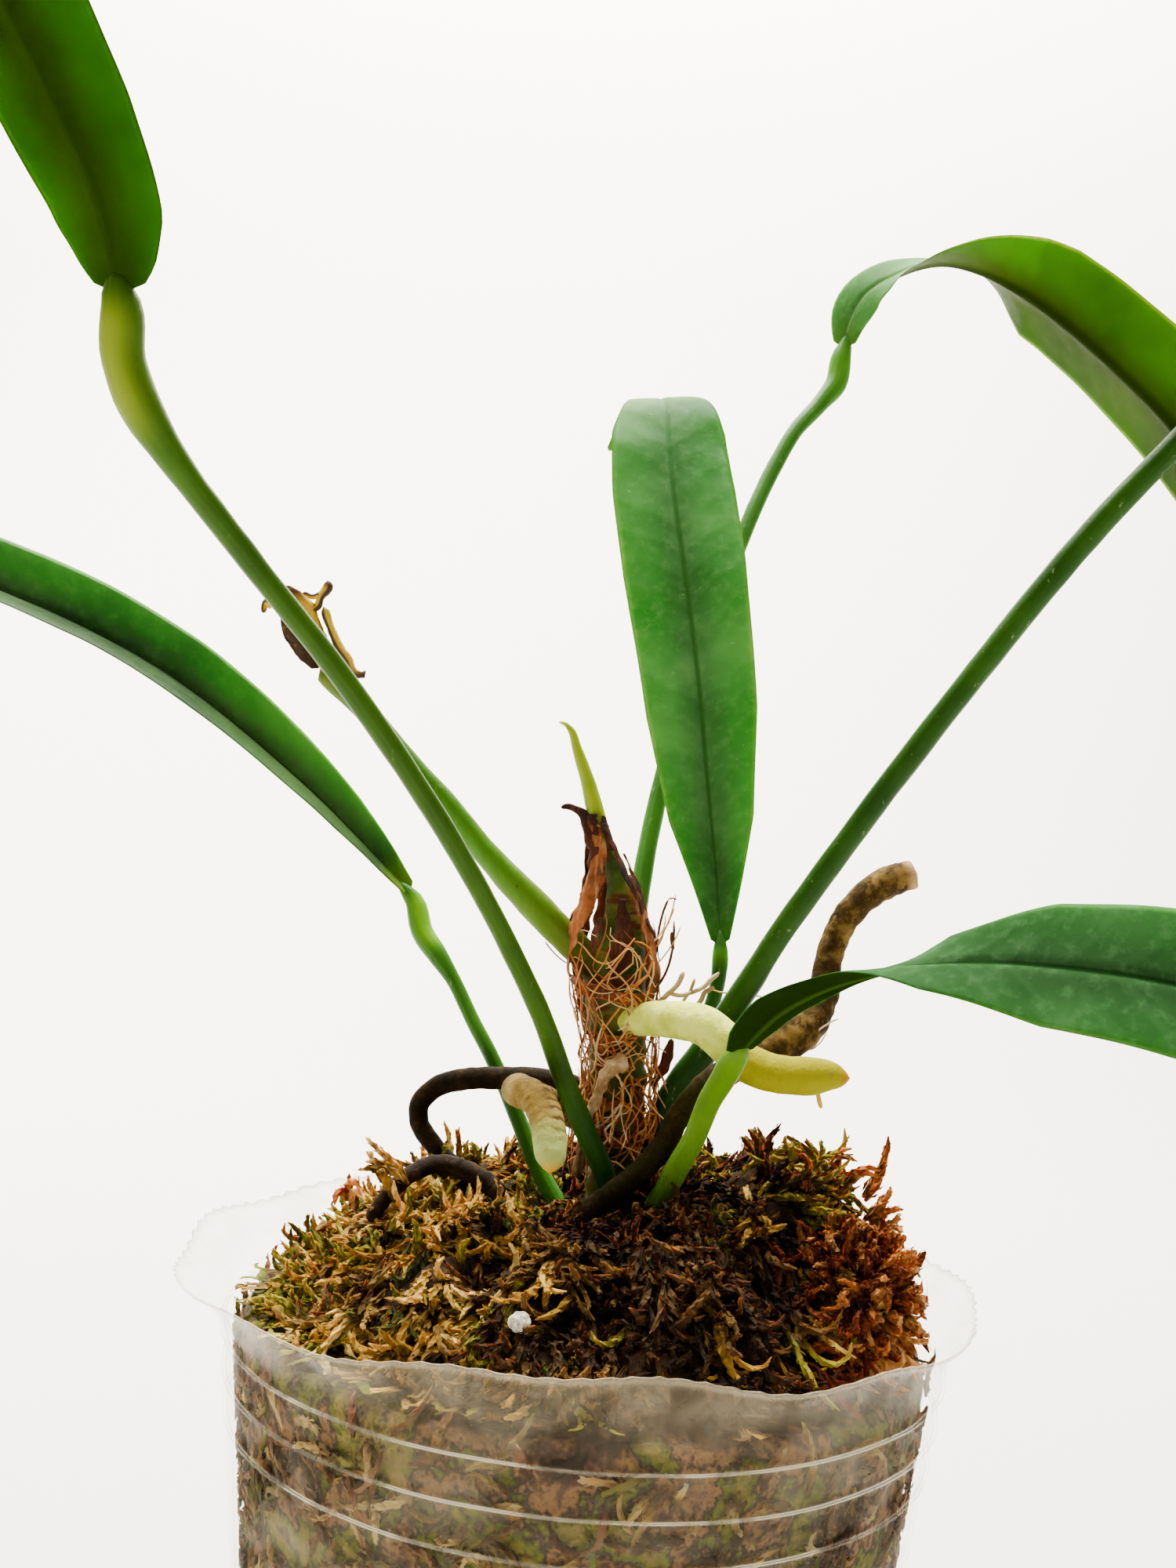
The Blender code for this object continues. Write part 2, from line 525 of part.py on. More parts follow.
def make_sheath(home, cutters, openings):
    """The papery sheath: an open turned skin that follows the leaning stem."""
    sheath = turned("stem_sheath", SHEATH_OUTLINE, 20, SHEATH_TURN)
    axis = np.array(STEM + [(-3.4, -4, 138, 1)], float)
    split = math.radians(SHEATH_SPLIT)
    for vertex in sheath.data.vertices:
        x = vertex.co.x * math.cos(split) - vertex.co.y * math.sin(split)
        y = vertex.co.x * math.sin(split) + vertex.co.y * math.cos(split)
        height = vertex.co.z / MM
        vertex.co.x = x + np.interp(height, axis[:, 2], axis[:, 0]) * MM
        vertex.co.y = y + np.interp(height, axis[:, 2], axis[:, 1]) * MM
    skin = sheath.modifiers.new("thickness", "SOLIDIFY")
    skin.thickness = SHEATH_THICKNESS * MM
    skin.offset = 0
    for opening in openings:
        cut(sheath, opening)
    return finish(sheath, "stem_sheath", (0.42, 0.20, 0.06), 0.8, home)


def make_leaf(name, leaf, home, cutters, stem_cutter):
    """One leaf: a stalk shaped to the stem where it clasps it, and its folded blade."""
    stalk = tube("stalk_" + name, leaf["stalk"])
    finish(stalk, "stalk_" + name, leaf["stalk_colour"], 0.4, home)
    cut(stalk, stem_cutter)
    make_blade("blade_" + name, leaf, leaf["colour"], home)
    return as_cutter(tube("socket_" + name, leaf["stalk"], GAP), cutters)


def main():
    clear_scene()
    home = new_collection("potted_anthurium")
    cutters = new_collection("cutters")

    stem_cutter = as_cutter(tube("stem_cutter", STEM, GAP), cutters)
    finish(tube("stem", STEM), "stem", STALK_GREEN, 0.6, home)
    finish(tube("new_shoot", NEW_SHOOT), "new_shoot", STALK_LIME, 0.5, home)

    sockets = [stem_cutter]
    for name, leaf in LEAVES.items():
        sockets.append(make_leaf(name, leaf, home, cutters, stem_cutter))

    openings = []
    for name, root in ROOTS.items():
        obj = finish(tube(name, root["path"]), name, root["colour"], 0.7, home)
        hollow = as_cutter(tube("socket_" + name, root["path"], GAP), cutters)
        if root["on_stem"]:
            cut(obj, stem_cutter)
        if root["in_moss"]:
            sockets.append(hollow)
        if name == "root_pale_right":
            openings.append(hollow)

    broken = finish(tube("broken_stalk", BROKEN_STALK), "broken_stalk", STALK_GREEN, 0.5, home)
    cut(broken, stem_cutter)
    openings.append(as_cutter(tube("socket_broken_stalk", BROKEN_STALK, GAP), cutters))
    make_blade("withered_blade", WITHERED_BLADE, (0.55, 0.42, 0.05), home, 0.5, 8, 4)
    make_blade("dried_scale", DRIED_SCALE, (0.35, 0.20, 0.09), home, 0.4, 6, 4)
    make_sheath(home, cutters, openings)

    wad = make_ball("moss_wad", MOSS_WAD_CENTRE, MOSS_WAD_RADII, 0.16, 24, 12)
    finish(wad, "moss_wad", (0.34, 0.17, 0.05), 0.95, home)
    grown = [radius + GAP for radius in MOSS_WAD_RADII]
    sockets.append(as_cutter(make_ball("socket_wad", MOSS_WAD_CENTRE, grown, 0.16, 24, 12), cutters))
    granule = make_ball("perlite_granule", PERLITE_CENTRE, (PERLITE_RADIUS,) * 3, 0.1, 10, 6)
    finish(granule, "perlite_granule", (0.85, 0.84, 0.78), 0.8, home)
    bed = (PERLITE_RADIUS + GAP,) * 3
    sockets.append(as_cutter(make_ball("socket_perlite", PERLITE_CENTRE, bed, 0.1, 10, 6), cutters))

    make_moss(home, cutters, sockets)
    make_pot(home, cutters)


main()
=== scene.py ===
# Potted anthurium: strap leaves, aerial roots and moss in a clear nursery pot.
# Tables hold millimetres in the CAD frame: x to the right, y to the back, z up from the pot's base.
import math
import random

import bpy
import numpy as np
from mathutils import Matrix, Vector, noise


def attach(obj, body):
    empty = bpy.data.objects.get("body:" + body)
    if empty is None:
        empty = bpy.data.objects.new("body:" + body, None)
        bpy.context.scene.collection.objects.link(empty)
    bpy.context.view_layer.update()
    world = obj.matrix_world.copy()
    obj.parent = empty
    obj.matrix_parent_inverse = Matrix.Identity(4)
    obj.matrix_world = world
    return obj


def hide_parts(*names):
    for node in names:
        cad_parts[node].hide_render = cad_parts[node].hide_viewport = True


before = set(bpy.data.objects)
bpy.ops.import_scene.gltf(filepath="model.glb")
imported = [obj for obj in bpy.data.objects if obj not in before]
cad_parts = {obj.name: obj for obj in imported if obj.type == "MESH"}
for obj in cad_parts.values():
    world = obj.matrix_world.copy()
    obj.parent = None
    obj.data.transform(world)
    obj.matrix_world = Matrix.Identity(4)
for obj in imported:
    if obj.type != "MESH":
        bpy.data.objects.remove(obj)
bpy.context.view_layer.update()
print("frame loaded:", len(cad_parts), "nodes")

mm = 0.001
fullTurn = 2 * math.pi


# Small helpers

def toLinear(hexColour):
    parts = [int(hexColour[i:i + 2], 16) / 255 for i in (1, 3, 5)]
    return tuple(p / 12.92 if p <= 0.04045 else ((p + 0.055) / 1.055) ** 2.4 for p in parts) + (1.0,)


# settings that many nodes share
eased = {"interpolation_type": "SMOOTHSTEP"}
inColour = {"data_type": "RGBA"}


def addNode(tree, kind, *values, stops=(), **settings):
    # adds a node and returns its first open output; values fill its open inputs in turn, and each is
    # a number, a hex colour, an output to link from, or None to leave the input as it is
    node = tree.nodes.new("ShaderNode" + kind)
    for key, value in settings.items():
        setattr(node, key, value)
    for number, (place, colour) in enumerate(stops):
        stop = node.color_ramp.elements[number] if number < 2 else node.color_ramp.elements.new(place)
        stop.position, stop.color = place, toLinear(colour)
    for socket, value in zip([socket for socket in node.inputs if socket.enabled], values):
        if isinstance(value, bpy.types.NodeSocket):
            tree.links.new(value, socket)
        elif value is not None:
            socket.default_value = toLinear(value) if isinstance(value, str) else value
    return next(socket for socket in node.outputs if socket.enabled)


def feed(shader, socketName, output):
    shader.id_data.links.new(output, shader.inputs[socketName])


def newMaterial(name, roughness=0.5, **constants):
    # constants are the shader's own sockets, written without their spaces
    material = bpy.data.materials.new(name)
    material.use_nodes = True
    tree = material.node_tree
    shader = tree.nodes["Principled BSDF"]
    shader.inputs["Roughness"].default_value = roughness
    for socket in shader.inputs:
        key = socket.name.replace(" ", "")
        key = key[:1].lower() + key[1:]
        if key in constants:
            socket.default_value = constants[key]
    return material, tree, shader


def objectNoise(tree, scaleMm, detail=3.0, roughness=0.55, stretch=(1, 1, 1), distortion=0.0):
    # noise whose blobs measure about scaleMm on the real piece
    place = addNode(tree, "TexCoord").node.outputs["Object"]
    stretched = addNode(tree, "Mapping", place, None, None, stretch)
    return addNode(tree, "TexNoise", stretched, 1000 / scaleMm, detail, roughness, None, distortion)


def coordPart(tree, kind, axis):
    # one axis of the Object or Normal coordinates
    return addNode(tree, "SeparateXYZ", addNode(tree, "TexCoord").node.outputs[kind]).node.outputs[axis]


def uvPart(tree, axis):
    return addNode(tree, "SeparateXYZ", addNode(tree, "UVMap", uv_map="UVMap")).node.outputs[axis]


def towards(tree, around, side):
    # 1 on the side that faces a share of the turn, -1 opposite it
    away = addNode(tree, "Math", around, side, operation="SUBTRACT")
    turned = addNode(tree, "Math", away, fullTurn, operation="MULTIPLY")
    return addNode(tree, "Math", turned, operation="COSINE")


def overlay(tree, tone, colour, value, low, high, outLow=0.0, outHigh=1.0):
    # tone under colour, which covers it by outLow to outHigh as value goes from low to high
    cover = addNode(tree, "MapRange", value, low, high, outLow, outHigh, **eased)
    return addNode(tree, "Mix", cover, tone, colour, **inColour)


def tableValue(table, shares):
    # a table of (share of the length, value or vector), read at each share
    values = np.array([row[1] for row in table], float).reshape(len(table), -1)
    return np.stack([np.interp(shares, [row[0] for row in table], c) for c in values.T], axis=1)


def alongCurve(stations, shares):
    # smooth curve through the stations, at each share of its length
    rows = np.array(stations, float)
    knots = runLengths(rows[:, :3])
    slopes = np.gradient(rows, knots, axis=0)
    at = np.clip(shares, 0, 1) * knots[-1]
    span = np.clip(np.searchsorted(knots, at) - 1, 0, len(rows) - 2)
    width = (knots[span + 1] - knots[span])[:, None]
    t = (at - knots[span])[:, None] / width
    hold = 2 * t**3 - 3 * t**2 + 1
    rise = t**3 - 2 * t**2 + t
    fall = t**3 - t**2
    return (hold * rows[span] + rise * width * slopes[span]
            + (1 - hold) * rows[span + 1] + fall * width * slopes[span + 1])


def unit(vectors):
    return vectors / np.maximum(np.linalg.norm(vectors, axis=-1, keepdims=True), 1e-9)


def noiseAt(points, scaleMm, seed=0.0):
    # smooth noise, about -1 to 1, at each point
    offset = Vector((seed * 13.7, seed * 5.3, seed * 9.1))
    return np.array([noise.noise(Vector(p) / scaleMm + offset) for p in points])


def turns(v):
    # the turn at each v, then the same with the seam's two edges read at one turn, so that they still meet
    return v * fullTurn, np.where(v > 0.9999, 0, v) * fullTurn


def outward(turn):
    return np.array([math.cos(turn), math.sin(turn), 0])


def runLengths(points):
    # how far along the path each point lies
    return np.concatenate(([0], np.cumsum(np.linalg.norm(np.diff(points, axis=0), axis=1))))


def pathLength(stations):
    return sum(math.dist(a[:3], b[:3]) for a, b in zip(stations, stations[1:]))


def selectOnly(*pieces):
    bpy.ops.object.select_all(action="DESELECT")
    for piece in pieces:
        piece.select_set(True)
    bpy.context.view_layer.objects.active = pieces[0]


def joinAll(pieces):
    # the others become part of the first
    selectOnly(*pieces)
    bpy.ops.object.join()
    return pieces[0]


def meshPiece(name, verts, faces, uvs):
    # a piece from its corners, its faces, and a UV for every corner of every face
    mesh = bpy.data.meshes.new(name)
    mesh.from_pydata(verts, [], faces)
    mesh.uv_layers.new(name="UVMap").data.foreach_set("uv", np.array(uvs, np.float32).ravel())
    piece = bpy.data.objects.new(name, mesh)
    bpy.context.scene.collection.objects.link(piece)
    return piece


def wrapGrid(name, along, around, place):
    # a flat grid whose vertices are laid on the surface that place(u, v) gives, then closed
    bpy.ops.object.select_all(action="DESELECT")
    bpy.ops.mesh.primitive_grid_add(x_subdivisions=along, y_subdivisions=around, size=1, calc_uvs=True)
    piece = bpy.context.object
    piece.name = name
    piece.data.name = name
    flat = np.empty(len(piece.data.vertices) * 3)
    piece.data.vertices.foreach_get("co", flat)
    flat = flat.reshape(-1, 3)
    laid = place(flat[:, 0] + 0.5, flat[:, 1] + 0.5)
    piece.data.vertices.foreach_set("co", (laid * mm).ravel())
    bpy.ops.object.mode_set(mode="EDIT")
    bpy.ops.mesh.select_all(action="SELECT")
    bpy.ops.mesh.remove_doubles(threshold=0.004 * mm)
    bpy.ops.mesh.normals_make_consistent(inside=False)
    bpy.ops.object.mode_set(mode="OBJECT")
    bpy.ops.object.shade_smooth()
    return piece


def ringFrames(stations, count):
    # centre, radius and two cross directions of each ring, turning as little as they can
    shares = np.linspace(0, 1, count)
    rows = alongCurve(stations, shares)
    ahead = unit(np.gradient(rows[:, :3], axis=0))
    across = np.zeros((count, 3))
    start = np.cross(ahead[0], (0, 1, 0))
    across[0] = start / np.linalg.norm(start)
    for ring in range(1, count):
        turned = across[ring - 1] - ahead[ring] * across[ring - 1].dot(ahead[ring])
        across[ring] = turned / np.linalg.norm(turned)
    return rows, across, np.cross(ahead, across)


def wrapTube(name, stations, along, around, relief, blunt=1.0):
    # a round stalk or root with closed rounded ends; relief(length, turn, points) scales its radius
    rows, across, over = ringFrames(stations, along + 1)
    length = runLengths(rows[:, :3])
    reach = np.minimum(length, length[-1] - length)
    inset = np.clip(reach / (rows[:, 3] * blunt), 0, 1)
    capped = rows[:, 3] * np.sqrt(np.clip(1 - (1 - inset)**2, 0, 1))

    def place(u, v):
        ring = np.rint(u * along).astype(int)
        turn, closed = turns(v)
        out, same = (across[ring] * np.cos(angle)[:, None] + over[ring] * np.sin(angle)[:, None]
                     for angle in (turn, closed))
        spot = rows[ring, :3] + same * rows[ring, 3][:, None]
        radius = capped[ring] * relief(length[ring], closed, spot)
        return rows[ring, :3] + out * radius[:, None]

    return wrapGrid(name, along, around, place)


def ready(piece, material, slotName, *nodes):
    piece.data.materials.clear()
    piece.data.materials.append(material)
    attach(piece, "root")
    if nodes:
        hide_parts(*nodes)


# Camera, stage and light

studio = {
    "lens": 37.8, "eye": (0.0, -0.2087, 0.1425), "turn": 1.36, "tip": -0.06, "roll": 4.70,
    "sheetWidth": 5.0, "sheetLength": 3.6, "sheetFront": 1.4, "sweepStart": 0.45, "sweepRadius": 0.5,
    "keyPower": 5.5, "fillPower": 1.0, "backPower": 160.0, "worldStrength": 0.2,
}


def makeCamera():
    data = bpy.data.cameras.new("camera")
    data.lens = studio["lens"]
    data.sensor_width = 36
    data.clip_start = 0.01
    camera = bpy.data.objects.new("camera", data)
    bpy.context.scene.collection.objects.link(camera)
    turn = Matrix.Rotation(math.radians(studio["turn"]), 4, "Z")
    tip = Matrix.Rotation(math.radians(90 + studio["tip"]), 4, "X")
    roll = Matrix.Rotation(math.radians(studio["roll"]), 4, "Z")
    camera.matrix_world = Matrix.Translation(studio["eye"]) @ turn @ tip @ roll
    bpy.context.scene.camera = camera


def makeBackdrop():
    # a pale sweep: floor, curve and wall in one sheet
    start, radius = studio["sweepStart"], studio["sweepRadius"]
    front = studio["sheetFront"]
    curve = radius * math.pi / 2
    bpy.ops.object.select_all(action="DESELECT")
    bpy.ops.mesh.primitive_grid_add(x_subdivisions=2, y_subdivisions=40, size=1)
    sweep = bpy.context.object
    sweep.name = "backdrop"
    for vertex in sweep.data.vertices:
        run = (vertex.co.y + 0.5) * studio["sheetLength"]
        x = vertex.co.x * studio["sheetWidth"]
        if run < front + start:
            vertex.co = (x, run - front, 0)
        elif run < front + start + curve:
            turn = (run - front - start) / radius
            vertex.co = (x, start + radius * math.sin(turn), radius * (1 - math.cos(turn)))
        else:
            vertex.co = (x, start + radius, radius + run - front - start - curve)
    bpy.ops.object.shade_smooth()
    material, tree, shader = newMaterial("backdropPaper", 0.9)  # matt seamless paper
    # painted shade: the paper is coloured a little darker towards the floor and the right, where the light
    # falls off
    right, up = coordPart(tree, "Object", 0), coordPart(tree, "Object", 2)
    paintedFalloff = addNode(tree, "Math", addNode(tree, "Math", right, 0.5, operation="MULTIPLY"), up,
                     operation="SUBTRACT")
    feed(shader, "Base Color",
         addNode(tree, "ValToRGB", addNode(tree, "MapRange", paintedFalloff, -0.6, 0.3, **eased),
                 stops=[(0.0, "#f6f5ee"), (1.0, "#c8c7c2")]))
    sweep.data.materials.append(material)


def addLight(name, place, aim, size, power, colour):
    data = bpy.data.lights.new(name, "AREA")
    data.shape = "RECTANGLE"
    data.size, data.size_y = size
    data.energy = power
    data.color = toLinear(colour)[:3]
    light = bpy.data.objects.new(name, data)
    bpy.context.scene.collection.objects.link(light)
    light.location = place
    light.rotation_euler = (Vector(aim) - Vector(place)).to_track_quat("-Z", "Y").to_euler()


def makeLights():
    addLight("key", (-0.55, -0.35, 0.95), (0, 0, 0.12), (0.7, 0.7), studio["keyPower"], "#fff1d8")
    addLight("fill", (0.8, -0.5, 0.5), (0, 0, 0.12), (0.8, 0.8), studio["fillPower"], "#fff4e2")
    addLight("back", (-0.1, 0.4, 1.3), (-0.05, 0.85, 0.4), (1.2, 0.6), studio["backPower"], "#fffbf2")
    world = bpy.data.worlds.new("softWorld")
    world.use_nodes = True
    background = world.node_tree.nodes["Background"]
    background.inputs[0].default_value = toLinear("#fff3e2")
    background.inputs[1].default_value = studio["worldStrength"]
    bpy.context.scene.world = world


makeCamera()
makeBackdrop()
makeLights()
print("camera, stage and light made")


# Leaves: a stalk with its knee, and a strap blade folded along its midrib

leafParts = {
    # "crowding" gathers the grid's lines at the midrib; past "marginAt" a vertex is on a margin
    "blade": {"along": 130, "around": 56, "edge": 0.16, "middle": 0.42, "middleWidth": 2.5,
              "ribHeight": 0.45, "ribWidth": 0.8, "grooveDepth": 0.30, "grooveWidth": 0.5,
              "ripple": 0.2, "rippleSize": 7.0, "rippleRun": 130, "crowding": 1.35, "marginAt": 0.999},
    # "underBlade": how far the stalk's skin runs on under the blade, and its share of the knee's radius there
    "stalk": {"around": 20, "ringStep": 1.1, "unevenness": 0.05,
              "underBlade": [(0.7, 0.75), (1.6, 0.5), (2.6, 0.22)]},
}

leaves = {
    "tall_left": {
        "stalk": [
            (2.2, -1.8, 84, 1.5), (2.2, -5.8, 89, 1.4), (1.8, -7.8, 92.5, 1.35), (1.2, -8.5, 95, 1.35),
            (-1.2, -9.3, 99.7, 1.35), (-4.3, -10.5, 105.9, 1.3), (-7.7, -13.5, 114.1, 1.25),
            (-12.6, -17, 123.4, 1.2), (-17.8, -21.5, 132.3, 1.2), (-23.2, -25.5, 140.4, 1.25),
            (-31.3, -31, 151.2, 1.3), (-41.8, -38, 163.5, 1.35), (-48.6, -44, 172, 1.65),
            (-50.8, -46, 175.3, 2.1), (-52.7, -48, 180.1, 2.2), (-52.8, -50, 185.3, 1.9),
        ],
        "midrib": [
            (-52.9, -50.2, 185.9), (-53.3, -51.8, 189.4), (-54.4, -54.5, 194.1), (-56.7, -57.5, 199.2),
            (-59.4, -60.8, 204.6), (-62.8, -64, 210.9), (-69, -69, 225), (-79, -73.5, 239.5),
            (-92, -77.5, 252), (-106, -80.5, 259.5), (-119, -82.5, 260), (-129, -84, 255.5),
            (-136, -84.5, 248.5),
        ],
        "halfWidth": [
            (0, 2), (0.02, 4.2), (0.05, 6), (0.12, 7.2), (0.25, 8.2), (0.5, 8.4), (0.8, 6), (0.93, 2.8),
            (1, 0.5),
        ],
        "facing": [(0, (0.25, 0.9, 0.35)), (0.4, (0.3, 0.75, 0.6)), (1, (-0.3, 0.25, 0.9))],
        "fold": [(0, 8), (1, 14)],
        "kneeLength": 15, "kneeSide": 0.05, "slot": "leaf_olive", "stalkSlot": "stalk_green",
        "bladeColours": {
            "deep": "#123d17", "main": "#1d5526", "light": "#3a7a38", "rib": "#0d3014",
            # the underside and margin colours are near black, far darker than the leaf's own green: painted
            # shade on an underside that faces down
            "under": "#203601", "underDeep": "#101e01", "underRib": "#182c01", "margin": "#0e1a01",
            "pale": "#3c5408", "base": "#3a5002", "gloss": 0.5, "shine": 0.0,
        },
        "stalkColours": {
            "deep": "#203e01", "main": "#305202", "foot": "#0c3d0a", "pale": "#587430", "knee": "#687a00",
        },
    },
    "low_left": {
        "stalk": [
            (2, -1, 83, 1.3), (-4.5, 2, 88.5, 1.2), (-8, 3.8, 93.5, 1.15), (-10.4, 5, 97.9, 1.1),
            (-14.7, 7, 105.4, 1), (-17.9, 8.5, 110.1, 1), (-20.9, 10, 114.8, 1), (-23.6, 11, 118.1, 1.4),
            (-25.7, 12, 120.5, 1.5), (-27.6, 13, 125, 1.2),
        ],
        "midrib": [
            (-27.9, 12.9, 125.5), (-34, 12, 131.3), (-39.8, 10.6, 136.6), (-46.2, 9, 141.8),
            (-53.8, 7.5, 147.4), (-61.2, 6, 152.1), (-70, 4, 156.4), (-82.2, 0.5, 160.9), (-97, -3, 165),
            (-112, -6, 166), (-126, -8, 162), (-138, -10.5, 154), (-146, -12, 145),
        ],
        "halfWidth": [
            (0, 1.3), (0.04, 2.6), (0.1, 4.2), (0.18, 5.6), (0.3, 6.7), (0.42, 7.2), (0.6, 7.2),
            (0.82, 4.8), (0.94, 2.2), (1, 0.5),
        ],
        "facing": [(0, (0.3, -0.66, 0.66)), (0.4, (0.35, -0.62, 0.7)), (1, (-0.5, -0.4, 0.75))],
        "fold": [(0, 32), (0.5, 32), (1, 20)],
        "kneeLength": 9, "kneeSide": 0.5, "slot": "leaf_green", "stalkSlot": "stalk_green",
        "bladeColours": {
            "deep": "#162a12", "main": "#243c1a", "light": "#344c24", "rib": "#0a2004",
            "under": "#2c5214", "underDeep": "#1c400e", "underRib": "#3c6a1c", "margin": "#3c6c28",
            "pale": "#5c8a48", "base": "#5a7a0a", "gloss": 0.4, "scuffs": 0.1, "shine": 0.05,
        },
        "stalkColours": {
            "deep": "#28560e", "main": "#386c16", "foot": "#164a10", "pale": "#7a9c5c", "knee": "#62980a",
        },
    },
    "centre": {
        "stalk": [
            (2.2, -1.2, 84, 1.4), (5.8, 3.6, 91, 1.3), (8.6, 6.8, 98, 1.2), (11.3, 8, 105.4, 1.1),
            (13.1, 9, 112.6, 1.05), (14.1, 9.5, 117.8, 1), (14.1, 10, 121.8, 1),
        ],
        "midrib": [
            (14.1, 10.1, 122.3), (13.1, 12, 130.1), (10.9, 15, 143.6), (8.5, 19, 158.6), (5.4, 24, 174.3),
            (2.9, 29, 186.8), (1.9, 33, 194), (1.4, 37, 199), (0.2, 43, 201.8), (-3, 50, 200.6),
            (-7.4, 57, 196),
        ],
        "halfWidth": [
            (0, 1.1), (0.07, 3.2), (0.16, 5.9), (0.3, 7.8), (0.5, 8.8), (0.62, 8.9), (0.72, 8.4),
            (0.79, 6.6), (0.85, 4.4), (0.93, 2.4), (1, 0.5),
        ],
        "facing": [
            (0, (0, -1, 0.2)), (0.45, (-0.15, -0.9, 0.3)), (0.7, (0, -0.5, 0.9)), (1, (-0.3, 0.6, 0.6)),
        ],
        "fold": [(0, 16), (0.5, 9), (0.7, 4), (1, 5)],
        "kneeLength": 3, "kneeSide": 0.25, "slot": "leaf_green", "stalkSlot": "stalk_green",
        "bladeColours": {
            "deep": "#204a1c", "main": "#345e2e", "light": "#507a42", "rib": "#204e18",
            "under": "#3a6a1f", "underDeep": "#285716", "underRib": "#4c7a2a", "margin": "#245518",
            "pale": "#8aa874", "base": "#2c6010", "gloss": 0.36, "scuffs": 0.4, "fadeFrom": 0.93,
            "shine": 0.02,
        },
        "stalkColours": {
            "deep": "#1c4c0e", "main": "#2a6014", "foot": "#0e4210", "pale": "#709860", "knee": "#3d7714",
        },
    },
    "back_right": {
        "stalk": [
            (2.2, -1.6, 93, 1.6), (2.5, 3, 97.5, 1.45), (2.8, 5, 102, 1.35), (2.9, 6.3, 107, 1.35),
            (2.5, 12, 121.8, 1.35), (3.1, 16, 130.5, 1.35), (4.6, 21, 142.3, 1.25), (9.4, 30, 164, 1.2),
            (13.5, 36, 178.9, 1.2), (18.1, 42, 192, 1.2), (21.3, 45, 198.9, 1.2), (24.9, 48, 203.9, 1.35),
            (27.4, 50, 207.8, 1.7), (28.2, 51, 213.1, 1.45),
        ],
        "midrib": [
            (28.3, 51, 213.7), (29, 50.5, 218.2), (30.7, 50, 221.9), (35.2, 48, 225), (41.2, 44.5, 226.2),
            (46.9, 41, 224.2), (52.2, 38, 220.6), (58.2, 35, 215.6), (65.2, 31.5, 208.7), (73.2, 28, 199.9),
            (80.6, 24, 188.6), (86.8, 20, 175.4), (91.5, 16.5, 162), (94.5, 14, 149), (96, 12.5, 138),
        ],
        "halfWidth": [
            (0, 1.6), (0.04, 4), (0.1, 6), (0.15, 5.6), (0.22, 8), (0.3, 10), (0.5, 10.8), (0.75, 8.8),
            (0.92, 4), (1, 0.5),
        ],
        "facing": [
            (0, (-0.5, -0.85, 0.2)), (0.06, (-0.45, -0.75, 0.5)), (0.155, (-0.1, -0.31, 1)),
            (0.27, (0.45, 0.55, 0.75)), (1, (0.85, 0.5, 0.25)),
        ],
        "fold": [(0, 12), (0.155, 5), (0.3, 22), (1, 22)],
        "kneeLength": 10, "kneeSide": 0.2, "slot": "leaf_olive", "stalkSlot": "stalk_green",
        "bladeColours": {
            "deep": "#2c5a24", "main": "#3f6c34", "light": "#5c8a4c", "rib": "#789a60",
            "under": "#2e4001", "underDeep": "#1b2a01", "underRib": "#142201", "margin": "#58741c",
            "pale": "#7c9868", "base": "#37560a", "gloss": 0.45, "scuffs": 0.1, "shine": 0.02,
        },
        "stalkColours": {
            "deep": "#2a5a14", "main": "#3a701c", "foot": "#124410", "pale": "#7ca070", "knee": "#47801a",
        },
    },
    "right": {
        "stalk": [
            (2.2, -1.8, 88, 2.1), (4.9, -0.9, 93.5, 2.2), (7.3, -1, 99.6, 2.1), (9.2, -1.5, 104.4, 2),
            (12.9, -2.5, 111.3, 1.8), (17.3, -3.5, 119.6, 1.6), (19.9, -4.5, 124.9, 1.5),
            (25.8, -6, 135.2, 1.5), (37.7, -9.5, 154.8, 1.5), (53.8, -13.5, 178.9, 1.5),
            (60.7, -15, 187.6, 1.45), (69.5, -17, 199.2, 1.5), (72.8, -17.6, 203.4, 1.9),
            (75, -18, 209, 1.7),
        ],
        "midrib": [
            (75.2, -18.1, 209.6), (78, -19, 215), (83.5, -20.5, 221), (92, -22.5, 226.5), (103, -25, 229.5),
            (114, -27, 228.5), (125, -29, 223.5), (135, -31, 215), (143, -32.5, 203.5), (148, -33.5, 190),
            (150, -34, 178),
        ],
        "halfWidth": [
            (0, 1.7), (0.05, 4.2), (0.15, 6.8), (0.35, 8), (0.6, 7.8), (0.82, 5.6), (0.94, 2.6), (1, 0.5),
        ],
        "facing": [(0, (-0.8, -0.1, 0.5)), (0.35, (-0.1, -0.2, 1)), (1, (0.9, -0.25, 0.2))],
        "fold": [(0, 20), (1, 20)],
        "kneeLength": 9, "kneeSide": 0.25, "slot": "leaf_green", "stalkSlot": "stalk_green",
        "bladeColours": {
            "deep": "#042f0c", "main": "#084c16", "light": "#256e26", "rib": "#043010",
            "under": "#4c6a0a", "underDeep": "#304c06", "underRib": "#587a16", "margin": "#2f6420",
            "pale": "#84a878", "base": "#5a8a12", "gloss": 0.32,
        },
        "stalkColours": {
            "deep": "#143604", "main": "#244a06", "foot": "#082c04", "pale": "#7a8a5c", "knee": "#6d8a06",
            "flecks": 0.6,
        },
    },
    "front_right": {
        "stalk": [
            (2.2, -1.4, 76, 1.7), (4.6, -5.5, 84, 1.6), (7, -9.5, 90.5, 1.5), (8.6, -12, 95, 1.4),
            (9.8, -14, 98.4, 1.4), (11.2, -16, 102.2, 1.35), (12.5, -18.5, 107.1, 1.4),
            (13.6, -21, 110.2, 1.45), (14.6, -24, 113.2, 1.4),
        ],
        "midrib": [
            (14.7, -24.4, 113.6), (16.2, -28, 116.7), (18.2, -32, 119.8), (20.6, -36, 122.3),
            (23.2, -40, 124.4), (26, -43.5, 126), (28.8, -46.5, 127.2), (32.6, -49.5, 128.1),
